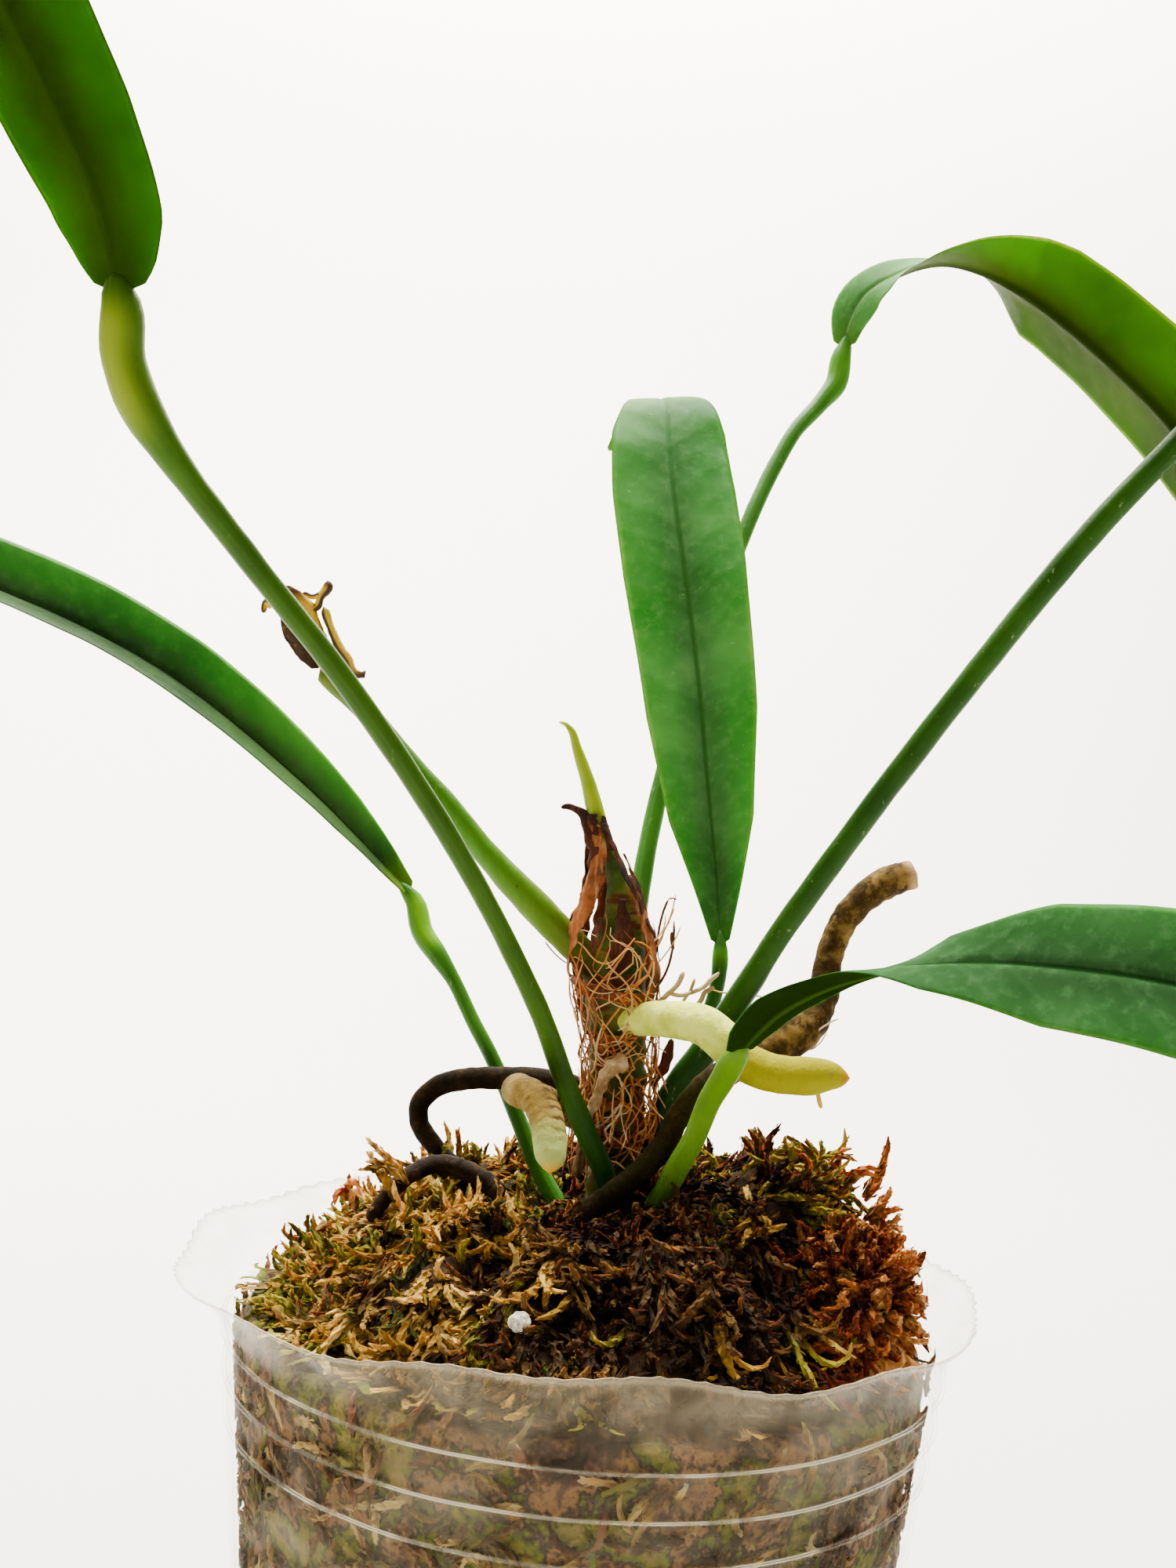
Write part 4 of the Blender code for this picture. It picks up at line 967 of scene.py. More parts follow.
sheathParts = {
    # by height: where the stem's middle is, and how far out from it the sheath lies
    "axis": [(90, 2.3, -1.6), (105, 2.0, -2.0), (112, 1.3, -2.1), (118, 0.4, -2.4), (127, -0.6, -3.0),
             (131, -1.2, -3.5), (138, -3.4, -4.0), (142, -4.4, -4.0)],
    "reach": [(90, 3.9), (96, 4.1), (104, 4.3), (108, 4.35), (111, 4.6), (114, 5.0), (119, 5.45),
              (124, 4.95), (129, 3.8), (133, 2.6), (137.2, 1.5), (142, 1.0)],
    # a strip's rows: height, turn round the stem in degrees (-90 faces front), half width, lift off it
    "dry": {
        "leftStrand": [(137.4, -100, 0.8, 0.4), (134.7, -97, 1.0, 0.6), (131, -117, 1.2, 0.8),
                       (127.2, -131, 1.4, 1.0), (123.7, -150, 1.55, 1.0), (121.1, -166, 1.3, 0.7),
                       (118.2, -168, 0.8, 0.3)],
        "rightBract": [(131.5, -46, 0.4, 0.3), (129, -42, 0.7, 0.4), (126.4, -36, 1.0, 0.4),
                       (123.3, -27, 1.4, 0.4), (120.7, -18, 1.6, 0.4), (118.5, -22, 1.6, 0.3),
                       (116.6, -42, 1.2, 0.15), (115.6, -58, 0.5, 0.0)],
        "underStrand": [(120.4, -150, 0.7, 0.0), (118.8, -148, 1.3, 0.0), (117.2, -145, 1.0, 0.05),
                        (115.9, -150, 0.3, 0.0)],
        "band": [(118.2, -170, 0.5, 0.15), (117.6, -143, 0.85, 0.2), (117, -110, 0.8, 0.15),
                 (116.6, -80, 0.75, 0.15), (116.4, -50, 0.6, 0.15)],
        "rightBack": [(134, 5, 0.7, 0.1), (130, 15, 1.6, 0.2), (125, 25, 2.4, 0.1), (119, 30, 2.4, 0.0),
                      (114, 35, 1.4, 0.0)],
        "back": [(135, 70, 1.0, 0.1), (131, 85, 2.0, 0.1), (125, 90, 2.8, 0.1), (118, 95, 2.8, 0.0),
                 (112, 95, 1.6, 0.0)],
        "backLeft": [(134.5, 140, 1.0, 0.1), (130, 145, 1.8, 0.1), (124, 148, 2.0, 0.0),
                     (117, 150, 1.8, 0.0), (112, 150, 1.0, 0.0)],
        "ringHigh": [(112.2, -155, 0.3, -0.3), (111.5, -122, 0.45, -0.1), (111.2, -90, 0.5, -0.1),
                     (111.5, -60, 0.4, -0.2)],
        "ringMiddle": [(102.4, -128, 0.4, -0.2), (103.2, -95, 0.6, -0.1), (103.5, -55, 0.4, -0.2)],
        "ringLow": [(99.1, -118, 0.5, -0.1), (98.6, -90, 0.75, 0.0), (98.9, -64, 0.4, -0.1)],
    },
    "dark": {
        "rightMargin": [(137.6, -66, 0.5, 0.4), (135.5, -61, 0.4, 0.5), (133.4, -57, 0.4, 0.5),
                        (130.2, -49, 0.4, 0.6), (126.9, -34, 0.4, 0.6), (124, -18, 0.35, 0.6),
                        (121, -6, 0.3, 0.5)],
        # the hollow and its side are dark paper sunk into the sheath: painted shade in the hollow
        "hollow": [(128.4, -66, 0.5, -0.5), (126, -70, 1.3, -0.5), (123.8, -70, 2.0, -0.5),
                   (121.6, -76, 2.1, -0.5), (119.8, -86, 1.2, -0.5), (118.9, -90, 0.5, -0.5)],
        "hollowSide": [(126, -112, 0.4, -0.4), (124.4, -116, 0.8, -0.3), (122.6, -120, 0.7, -0.4),
                       (121.6, -120, 0.3, -0.4)],
        "topLeft": [(138.7, -100, 0.6, 0.3), (137.2, -112, 0.9, 0.35), (135, -116, 0.9, 0.45),
                    (132.4, -126, 0.7, 0.5), (130.8, -131, 0.3, 0.5)],
        "topRight": [(138.4, -58, 0.4, 0.5), (137.2, -66, 0.7, 0.5), (135.8, -66, 0.7, 0.5),
                     (134.4, -62, 0.4, 0.4)],
        "topBack": [(138, 60, 0.6, 0.3), (136.4, 80, 1.1, 0.3), (134, 95, 1.3, 0.2), (131.5, 95, 0.8, 0.2)],
    },
    # dark dried paper rolled into ribbons: a tip that curls off to the left at the mouth, a twist lower down
    # on that side and a flap at the right; rings, sides, roughness, its size, seed, thinness, section, path
    "curls": {
        "paperCurl": (40, 12, 0.3, 1.2, 61, 0.5, np.cos,
                      [(-3.5, -5.4, 134.2, 0.8), (-4, -5.2, 136, 0.85), (-4.5, -5, 137.4, 0.7),
                       (-5.3, -4.6, 138.6, 0.55), (-6.3, -4.4, 139.1, 0.45), (-7.2, -4.3, 139.3, 0.4),
                       (-8, -4.3, 139.1, 0.2)]),
        "paperTwist": (30, 10, 0.4, 1.0, 63, 0.45, np.sin,
                       [(-3.4, -5.6, 130.6, 0.2), (-4, -5.2, 128.9, 0.3), (-4.7, -4.6, 127.2, 0.35),
                        (-5.3, -4, 125.8, 0.6), (-5.5, -3.8, 124.6, 0.5)]),
        "paperFlap": (30, 12, 0.4, 1.3, 65, 0.3, np.cos,
                      [(8.1, -2.4, 111.4, 0.3), (8, -2.4, 110, 0.65), (7.6, -2.4, 108.2, 0.7),
                       (6.9, -2.5, 106.6, 0.6), (6.1, -2.8, 105.2, 0.4)]),
    },
    # the names of each paper and of its material, then its colours: from thick or damp to thin, and its grain
    "papers": {
        "dry": ("sheathPaper", "dryBractPaper", ("#321608", "#62300e", "#8a4a1e", "#a4683a", "#c89468")),
        "dark": ("sheathDarkPaper", "dampBractPaper",
                 ("#120604", "#2a0f06", "#3f1a0a", "#5a2c14", "#6d4426")),
    },
    # loose fibres that stand off at the sides: start, middle, end and radius
    "strays": [((5.3, -3.6, 120.8), (5.2, -3.6, 126.5), (6.3, -3.8, 128.8), 0.16),
               ((6.3, -3.8, 128.8), (6.9, -3.8, 129.2), (7.3, -3.8, 128.8), 0.12),
               ((5.6, -3.4, 117.6), (7.8, -3.6, 120.4), (7.2, -3.6, 126.2), 0.17),
               ((7.4, -3.6, 122.6), (7, -3.6, 124), (7.1, -3.6, 124.8), 0.26),
               ((-5.6, -3.8, 119.8), (-7.2, -4.2, 120.6), (-8.6, -4.4, 122.4), 0.12)],
    # of the loose fibres the first "highLoose" stand up at the mouth; "cycle" is a fibre's wave in radians
    "scraps": 9, "fibres": 86, "crossFibres": 30, "looseFibres": 30, "highLoose": 6, "cycle": 6.28,
    "fibreRadius": 0.105, "thickness": 0.14, "crumple": 0.32, "levelTurn": 20,
}


def sheathSpot(height, turn, lift):
    # a place on the sheath, from its height, its turn round the stem in degrees and its lift off it
    axis = np.array(sheathParts["axis"], float)
    reach = np.array(sheathParts["reach"], float)
    out = np.interp(height, reach[:, 0], reach[:, 1]) + lift
    x = np.interp(height, axis[:, 0], axis[:, 1]) + out * np.cos(np.radians(turn))
    y = np.interp(height, axis[:, 0], axis[:, 2]) + out * np.sin(np.radians(turn))
    return np.stack([x, y, np.broadcast_to(height, np.shape(x))], axis=-1)


def threadMesh(name, threads, sides=4):
    # many fine round threads in one mesh; each is (points, radius, tint), its tint its UV's first number
    verts, faces, tints = [], [], []
    for points, radius, tint in threads:
        points = np.array(points, float)
        count = len(points)
        ahead = unit(np.gradient(points, axis=0))
        across = unit(np.cross(ahead, (0.31, 0.83, 0.46)))
        over = np.cross(ahead, across)
        taper = radius * np.sqrt(np.clip(np.sin(np.linspace(0.02, 0.98, count) * math.pi) * 3, 0.02, 1))
        base = len(verts)
        for ring in range(count):
            for side in range(sides):
                turn = fullTurn * side / sides
                out = across[ring] * math.cos(turn) + over[ring] * math.sin(turn)
                verts.append((points[ring] + out * taper[ring]) * mm)
        for ring in range(count - 1):
            for side in range(sides):
                a, b = base + ring * sides + side, base + ring * sides + (side + 1) % sides
                faces.append((a, b, b + sides, a + sides))
                tints += [(tint, ring / count)] * 2 + [(tint, (ring + 1) / count)] * 2
        faces.append(tuple(base + side for side in reversed(range(sides))))
        tints += [(tint, 0)] * sides
        faces.append(tuple(base + (count - 1) * sides + side for side in range(sides)))
        tints += [(tint, 1)] * sides
    piece = meshPiece(name, verts, faces, tints)
    piece.data.shade_smooth()
    return piece


def paperStrip(name, rows, seed, along=46, around=8):
    stations = np.array(rows, float)
    length = np.linspace(0, 1, len(rows))
    # a strip that turns this far from row to row lies level round the stem
    level = np.abs(np.gradient(stations[:, 1])).mean() > sheathParts["levelTurn"]

    def place(u, v):
        height, turn, half, lift = (np.interp(u, length, column) for column in stations.T)
        across = (v - 0.5) * 2
        ragged = 1 + 0.35 * noiseAt(np.stack([u * 40, across * 2, 0 * u], axis=1), 2.5, seed)
        if level:
            spot = sheathSpot(height + across * half * ragged, turn, lift + 0.25 * across**2)
        else:
            reach = np.interp(height, *np.array(sheathParts["reach"], float).T)
            spot = sheathSpot(height, turn + np.degrees(across * half * ragged / (reach + 1.0)), lift)
        crumple = np.stack([noiseAt(spot, 1.6, seed + k) for k in (1, 2, 3)], axis=1)
        return spot + sheathParts["crumple"] * crumple

    piece = wrapGrid(name, along, around, place)
    shell = piece.modifiers.new("paper", "SOLIDIFY")
    shell.thickness = sheathParts["thickness"] * mm
    shell.offset = 0
    bpy.ops.object.modifier_apply(modifier="paper")
    return piece


def sheathPaper(name, tones):
    # dead bract: brittle brown paper, darker where it is thick or damp, with lengthwise grain; the dark paper
    # in the hollow is painted shade
    material, tree, shader = newMaterial(name, 0.75, specularIORLevel=0.15)
    blotch = objectNoise(tree, 4.5, 4)
    tone = addNode(tree, "ValToRGB", blotch, stops=list(zip((0.32, 0.45, 0.6, 0.75), tones)))
    grain = objectNoise(tree, 0.7, 4, 0.7, (1, 1, 0.12))
    tone = overlay(tree, tone, tones[4], grain, 0.5, 0.72, 0.0, 0.45)
    tone = overlay(tree, tone, tones[0], objectNoise(tree, 1.6, 5, 0.7), 0.6, 0.7, 0.0, 0.7)
    feed(shader, "Base Color", tone)
    feed(shader, "Normal", addNode(tree, "Bump", 0.8, 0.12 * mm, None, grain))
    return material


def fibreMaterial():
    # dead sheath veins: dry plant fibre, from cream to fox brown
    material, tree, shader = newMaterial("sheathFibre", 0.68, specularIORLevel=0.15)
    tint = uvPart(tree, 0)
    tone = addNode(tree, "ValToRGB", tint,
                   stops=[(0.0, "#502a12"), (0.12, "#985020"), (0.4, "#b8722c"), (0.7, "#cc965c"),
                          (1.0, "#e4c090")])
    tone = overlay(tree, tone, "#703c1c", objectNoise(tree, 2.5, 3), 0.55, 0.7, 0.0, 0.45)
    feed(shader, "Base Color", tone)
    return material


def makePaper(chance):
    papers = {kind: [paperStrip("paper_" + name, rows, first + 5 * number)
                     for number, (name, rows) in enumerate(sheathParts[kind].items())]
              for kind, first in (("dry", 40), ("dark", 140))}
    for number in range(sheathParts["scraps"]):
        # torn scraps of the bract that still cling below it
        low, turn = chance.uniform(97, 113), chance.uniform(-185, 20)
        rows = [(low + 5, turn + chance.uniform(-20, 20), 0.3, 0.1),
                (low + 3.4, turn + chance.uniform(-14, 14), 0.6, 0.15),
                (low + 1.6, turn, 0.7, 0.1), (low, turn + chance.uniform(-14, 14), 0.3, 0.0)]
        papers["dry"].append(paperStrip(f"scrap{number}", rows, 200 + 5 * number, 18, 6))
    for name, (rings, sides, rough, size, seed, thin, section, path) in sheathParts["curls"].items():
        def rolled(run, turn, spot):
            return (1 + rough * noiseAt(spot, size, seed)) * (thin + (1 - thin) * np.abs(section(turn)))

        papers["dark"].append(wrapTube(name, path, rings, sides, rolled))
    for kind, (name, materialName, tones) in sheathParts["papers"].items():
        paper = joinAll(papers[kind])
        paper.name = name
        ready(paper, sheathPaper(materialName, tones), "sheath_dry", "stem_sheath")


def makeFibres(chance):
    threads, radius, cycle = [], sheathParts["fibreRadius"], sheathParts["cycle"]
    for number in range(sheathParts["fibres"]):
        # sinuous veins that run down the sheath and hang free below it
        top, long = chance.uniform(99, 127), chance.uniform(8, 22)
        low = max(top - long, 93)
        turn = chance.uniform(0, 360) if number % 3 == 0 else chance.uniform(-180, 5)
        drift, swing = chance.gauss(0, 30), chance.uniform(6, 26)
        wave, phase = chance.uniform(6, 15), chance.uniform(0, cycle)
        share = np.linspace(0, 1, max(8, int((top - low) / 0.9)))
        sway = share * (top - low) * cycle / wave
        heights = top + (low - top) * share + 0.7 * np.sin(sway * 1.3 + phase)
        lift = chance.uniform(0, 0.4) + 0.35 * np.sin(share * 6 + phase)**2
        lift = lift + np.clip((105 - heights) / 10, 0, 1) * chance.uniform(0, 1.8)
        threads.append((sheathSpot(heights, turn + drift * share + swing * np.sin(sway + phase), lift),
                        radius * chance.uniform(0.6, 1.5), chance.random()))
    for number in range(sheathParts["crossFibres"]):
        # veins that loop across the others
        height, turn, sweep = chance.uniform(95, 122), chance.uniform(-200, -40), chance.uniform(50, 130)
        share = np.linspace(0, 1, 22)
        phase = chance.uniform(0, cycle)
        heights = height + chance.uniform(-5, 5) * share
        heights = heights + chance.uniform(0.6, 1.8) * np.sin(share * 7 + phase)
        lift = chance.uniform(0.1, 0.5) + 0.3 * np.sin(share * 8 + phase)**2
        threads.append((sheathSpot(heights, turn + sweep * share, lift), radius * chance.uniform(0.6, 1.3),
                        chance.random()))
    for number in range(sheathParts["looseFibres"]):
        # broken ends that spring off the net, most of them low down and hanging
        high = number < sheathParts["highLoose"]
        height = chance.uniform(117, 124) if high else chance.uniform(97, 112)
        turn = chance.uniform(-25, 15) if high else chance.uniform(-130, 20)
        long = chance.uniform(3, 8)
        fall = chance.uniform(0.5, 1.3) if high else chance.uniform(-0.9, -0.2)
        curl = np.array([chance.uniform(-1, 1), chance.uniform(-1, 1), 0])
        share = np.linspace(0, 1, 10)[:, None]
        spring = outward(math.radians(turn)) * share * 0.55 * (1 - 0.3 * share)
        path = spring + np.array([0, 0, fall]) * share + curl * 0.3 * share**2
        points = sheathSpot(height, turn, 0.1) + long * path
        threads.append((points, radius * 0.9, chance.random()))
    for start, middle, end, thick in sheathParts["strays"]:
        bend = [np.array(start) * (1 - t)**2 + np.array(middle) * 2 * t * (1 - t) + np.array(end) * t * t
                for t in np.linspace(0, 1, 12)]
        threads.append((bend, thick, 0.0))
    net = threadMesh("sheathFibres", threads)
    ready(net, fibreMaterial(), "sheath_dry", "stem_sheath")


def makeSheath():
    chance = random.Random(7)
    makePaper(chance)
    makeFibres(chance)


def makeFlake():
    # cream dried flake under the sheath: a narrow crumpled strip that hooks to the left as it falls
    path = [(3.0, -6.8, 107.8, 0.6), (1.9, -7.2, 108.5, 1.0), (0.9, -7.5, 108.2, 0.9),
            (0.1, -7.7, 106.6, 0.7), (-0.5, -7.7, 104.4, 0.6), (-1.3, -7.7, 102.0, 0.6),
            (-1.6, -7.6, 99.4, 0.55), (-2.0, -7.4, 96.4, 0.5), (-2.0, -7.2, 94.0, 0.4)]

    def crumpled(run, turn, spot):
        return (0.3 + 0.8 * np.abs(np.cos(turn))) * (1 + 0.8 * noiseAt(spot, 1.1, 71))

    flake = wrapTube("driedFlake", path, 60, 16, crumpled)
    # shed root skin: corky, cream to fox brown
    material, tree, shader = newMaterial("driedFlakeSkin", 0.7, specularIORLevel=0.15)
    tone = addNode(tree, "ValToRGB", objectNoise(tree, 2.5, 5, 0.65),
                   stops=[(0.3, "#6c4c2a"), (0.48, "#a88258"), (0.65, "#d8bc90")])
    tone = overlay(tree, tone, "#5a3a1c", uvPart(tree, 0), 0.35, 0.8, 0.0, 0.75)
    feed(shader, "Base Color", tone)
    feed(shader, "Normal", addNode(tree, "Bump", 1.0, 0.25 * mm, None, objectNoise(tree, 0.9, 4)))
    ready(flake, material, "scale_dry", "dried_scale")


def makeTwigs():
    # dead flower-stalk remains behind the pale root, and the rootlets on the long brown root
    twigs = [
        ([(5.6, -4, 115.6), (7.2, -3.8, 117.0), (8.4, -3.6, 118.6), (8.9, -3.5, 120.0)], 0.34, 0.4),
        ([(7.4, -3.8, 117.0), (9.6, -3.4, 117.2), (11.4, -3.2, 118.2), (12.6, -3.2, 119.4),
          (13.4, -3.2, 120.2)], 0.30, 0.5),
        ([(9.8, -3.4, 114.8), (11.0, -3.3, 116.0), (12.0, -3.2, 117.8), (12.8, -3.2, 118.4)], 0.32, 0.3),
        ([(12.6, -3.0, 118.0), (14.6, -2.6, 117.6), (17.0, -2.4, 117.8), (19.2, -2.2, 117.4)], 0.12, 0.8),
        ([(8.6, -3.4, 115.4), (9.6, -3.2, 117.0), (10.4, -3.2, 119.2)], 0.22, 0.55),
        ([(22.4, -5.6, 112.8), (24.8, -6.0, 113.6), (26.6, -6.2, 115.2), (28.2, -6.4, 116.2)], 0.12, 0.45),
        ([(24.6, -14.6, 109.6), (25.4, -14.8, 107.8), (25.8, -14.8, 106.6)], 0.30, 0.9),
        ([(22.8, -5.4, 112.0), (25.2, -6.6, 112.2), (26.8, -7.0, 114.4)], 0.10, 0.6),
    ]
    threads = []
    for points, radius, tint in twigs:
        rows = alongCurve([(*p, 1) for p in points], np.linspace(0, 1, 14))[:, :3]
        rows = rows + 0.16 * np.stack([noiseAt(rows, 1.1, 81 + k) for k in range(3)], axis=1)
        threads.append((rows, radius, tint))
    twigPiece = threadMesh("deadTwigs", threads, 6)
    # dried flower stalk and rootlets: grey-brown, matt
    material, tree, shader = newMaterial("deadTwig", 0.8, specularIORLevel=0.15)
    tone = addNode(tree, "ValToRGB", uvPart(tree, 0),
                   stops=[(0.2, "#8f6f5a"), (0.55, "#c9b08f"), (0.9, "#c9a23c")])
    tone = overlay(tree, tone, "#5d4434", objectNoise(tree, 1.2, 4), 0.5, 0.65, 0.0, 0.6)
    feed(shader, "Base Color", tone)
    ready(twigPiece, material, "root_brown")


makeSheath()
makeFlake()
makeTwigs()
print("sheath, flake and twigs made")


# Sphagnum moss: a dark core, covered in sprigs

mossParts = {
    "crown": 90.5, "edge": 75.5, "tuft": 2.6, "tuftSize": 9.0, "wall": (37.0, 45.0, 74.0), "gap": 1.25,
    "mound": [(0, 0), (6, 0.5), (12, 1.2), (18, 1.5), (24, 1.0), (29, -1), (33.5, -4.5), (37, -9),
              (39.5, -12.5), (41.5, -15)],
    # how far out each kind of branch sets out
    "tuftReach": 39.0, "lockReach": (25, 37), "groundReach": 40, "edgeReach": (8, 36), "lobeReach": 40,
    "tufts": 560, "tuftBranches": (4, 7), "locks": 190, "lockBranches": (4, 6), "groundSprigs": 900,
    "edgeSprigs": 50, "settle": 2.4, "lump": 4.2, "lumpSize": 8.5, "wallSprigs": 2000, "lobeSprigs": 380,
    "sprigLength": (4.2, 8.6), "sprigWidth": (0.46, 0.74),
    "lobeCentre": (31.5, -14, 84.5), "lobeRadii": (9.5, 14, 8.5),
    # the mound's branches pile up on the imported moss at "shelf", and above "rimStart" lean in from the wall
    "moundRadius": 41.5, "shelf": 77, "rimStart": 76, "floorGap": 1.5, "wallClear": 2, "coreFloor": 1.4,
    # the tall tips that stand out of the mound: foot, tip, kind and model
    "tips": [
        ((-28.2, -12, 89.5), (-31.1, -14, 95.1), "orange", 3), ((-24.6, -8, 90), (-27.5, -8, 96.4), "tan", 1),
        ((-23.1, -6, 92), (-27.3, -9, 96.6), "tan", 0), ((32.9, 5, 93), (27.6, 3, 99.4), "orange", 5),
        ((30.8, 1, 93), (33.5, 2, 98.8), "orange", 1), ((29.8, 0, 94), (23.4, 0, 99.9), "green", 5),
        ((34.9, 6, 92), (39.8, 8, 97.9), "orange", 0), ((21.3, 0, 94), (20.4, 0, 100.9), "dark", 0),
        ((35, 2, 90), (38.6, 2, 93.2), "orange", 0), ((36, 2, 89), (40, 1, 90.4), "orange", 1),
        ((-19.7, 0, 91), (-18.2, 0, 95), "green", 1), ((-16.1, 0, 91.5), (-13, 0, 95.2), "green", 3),
        ((16, 3, 93), (14.6, 3, 98), "green", 1), ((26, 4, 94), (24.6, 3, 98.6), "dark", 3),
    ],
    "tipSpin": 6.283,
}


def mossLift(x, y):
    tuft = mossParts["tuft"] * noise.noise(Vector((x, y, 0)) / mossParts["tuftSize"])
    ridge = 6.0 * math.exp(-((x - 22)**2 + (y - 4)**2) / 160)
    hollow = -0.5 * math.exp(-((x - 2)**2 + (y + 3)**2) / 90)
    return tuft + ridge + hollow


def mossTop(x, y):
    # height of the mound at a place
    radius = math.hypot(x, y)
    lift = np.interp(radius, *np.array(mossParts["mound"], float).T)
    lump = mossParts["lump"] * noise.noise(Vector((x, y, 40)) / mossParts["lumpSize"])
    settled = mossParts["settle"] * (0.35 + 1.1 * min(max(-x / 25, 0), 1))
    inner = min(max((mossParts["moundRadius"] - radius) / 8, 0), 1)
    return mossParts["crown"] + lift + inner * (mossLift(x, y) + lump - settled)


def wallInside(height):
    low, high, band = mossParts["wall"]
    return low + (high - low) * height / band - mossParts["gap"]


def makeMossCore():
    edge, floor, widest = mossParts["edge"], mossParts["coreFloor"], mossParts["moundRadius"]
    heights = [edge, 60, 45, 30, 16, 5, floor]
    mound, wall = 0.5, 0.9  # where the mound ends and where the wall ends, as shares of the way

    def place(u, v):
        # down the mound from its middle, down the wall, and in under the base
        points = np.zeros((len(u), 3))
        for i, (share, angle) in enumerate(zip(u, v * fullTurn)):
            if share <= mound:
                radius = widest * share / mound
                x, y = radius * math.cos(angle), radius * math.sin(angle)
                points[i] = (x, y, mossTop(x, y) - 1.6 if radius < 40.8 else edge)
            elif share <= wall:
                height = np.interp(share, np.linspace(mound, wall, len(heights)), heights)
                radius = min(wallInside(height) - 1.1, widest + (edge - height) * 0.6)
                points[i] = (radius * math.cos(angle), radius * math.sin(angle), height)
            else:
                radius = (wallInside(floor) - 2) * (1 - share) / 0.1
                points[i] = (radius * math.cos(angle), radius * math.sin(angle), 1.25)
        rough = np.clip((points[:, 2] - 60) / 12, 0, 1)
        points[:, 2] += 0.9 * rough * noiseAt(points * (1, 1, 0), 2.2, 17)
        return points

    core = wrapGrid("mossCore", 170, 150, place)
    material, tree, shader = newMaterial("dampMossCore", 0.9, specularIORLevel=0.1)
    # damp packed sphagnum: blotches of grey-purple, dun and yellow-green, with painted shade between the
    # strands
    height = coordPart(tree, "Object", 2)
    patches = objectNoise(tree, 10, 5, 0.68)
    strands = objectNoise(tree, 2.2, 6, 0.72)
    low = addNode(tree, "ValToRGB", patches,
                  stops=[(0.34, "#1e1612"), (0.42, "#503a30"), (0.47, "#765636"), (0.52, "#2e2622"),
                         (0.57, "#50541a"), (0.63, "#70602c"), (0.7, "#2c2228")])
    # painted shade in the gaps between the strands
    low = overlay(tree, low, "#2a1e16", strands, 0.38, 0.5, 0.7, 0.0)
    low = overlay(tree, low, "#a08448", strands, 0.58, 0.7, 0.0, 0.45)
    # on the mound, under the branches, the core is painted near black: painted shade in the gaps between them
    top = addNode(tree, "ValToRGB", strands, stops=[(0.35, "#120a05"), (0.55, "#2a1b0c"), (0.7, "#4a3517")])
    feed(shader, "Base Color", overlay(tree, low, top, height, 0.074, 0.077))
    feed(shader, "Normal", addNode(tree, "Bump", 1.0, 0.8 * mm, None, strands))
    ready(core, material, "moss", "moss_plug")


def sprigModel(kind, seed):
    # one branch of moss, a unit long, setting out up z: a soft spindle of overlapping scale leaves
    chance = random.Random(seed)
    turnBy = {"gentle": (0.3, 0.5), "bowed": (0.5, 1.1), "hooked": (0.3, 2.3), "wavy": (-0.9, 1.8)}[kind]
    girth = (0.5, 0.9, 1.1, 1.0, 0.9, 0.65, 0.25)
    sides, scales, fine = 4, 16, 30
    headings = [turnBy[0] * t + turnBy[1] * t * t for t in np.linspace(0, 1, fine + 1)]
    route = np.cumsum([(0, 0)] + [(math.sin(h) / fine, math.cos(h) / fine) for h in headings[:-1]], axis=0)

    def core(t):
        x, z = (np.interp(t, np.linspace(0, 1, fine + 1), column) for column in route.T)
        return np.array([x, 0, z])

    def across(t):
        heading = np.interp(t, np.linspace(0, 1, fine + 1), headings)
        return np.array([math.cos(heading), 0, -math.sin(heading)])

    # each vertex is a place on the branch's middle line and an offset from it, in girths
    middles, offsets, shares, faces = [], [], [], []
    for ring, share in enumerate(girth):
        t = ring / (len(girth) - 1)
        radius = 0.8 * share * (1.15 if ring % 2 else 0.85)
        for side in range(sides):
            turn = fullTurn * (side + 0.5 * ring) / sides + chance.uniform(-0.3, 0.3)
            middles.append(core(t))
            offsets.append(radius * (across(t) * math.cos(turn) + np.array([0, 1, 0]) * math.sin(turn)))
            shares.append(t)
        if ring:
            base = (ring - 1) * sides
            for side in range(sides):
                nextSide = (side + 1) % sides
                faces.append((base + side, base + nextSide, base + sides + nextSide, base + sides + side))
    faces.append(tuple(len(shares) - sides + side for side in range(sides)))
    faces.append(tuple(reversed(range(sides))))
    for number in range(scales):
        t = 0.05 + 0.9 * number / scales
        turn = number * 2.4 + chance.uniform(-0.4, 0.4)
        out = across(t) * math.cos(turn) + np.array([0, 1, 0]) * math.sin(turn)
        ahead = unit(core(min(t + 0.05, 1)) - core(t - 0.03))
        side = np.cross(out, ahead)
        size = (1 - 0.5 * t) * chance.uniform(0.8, 1.25)
        root = out * 0.6 * (1 - 0.7 * t)
        middle = root + (ahead * 0.9 + out * 0.45) * size
        tip = root + (ahead * 2.0 + out * chance.uniform(0.1, 1.0)) * size
        base = len(shares)
        middles += [core(t)] * 4
        offsets += [root, middle + side * 0.5 * size, tip, middle - side * 0.5 * size]
        shares += [t, t + 0.05, t + 0.1, t + 0.05]
        faces.append((base, base + 1, base + 2, base + 3))
    return np.array(middles), np.array(offsets), np.array(shares), faces


sprigModels = [sprigModel(kind, seed) for seed, kind in
               enumerate(("gentle", "bowed", "wavy", "hooked", "bowed", "hooked"))]


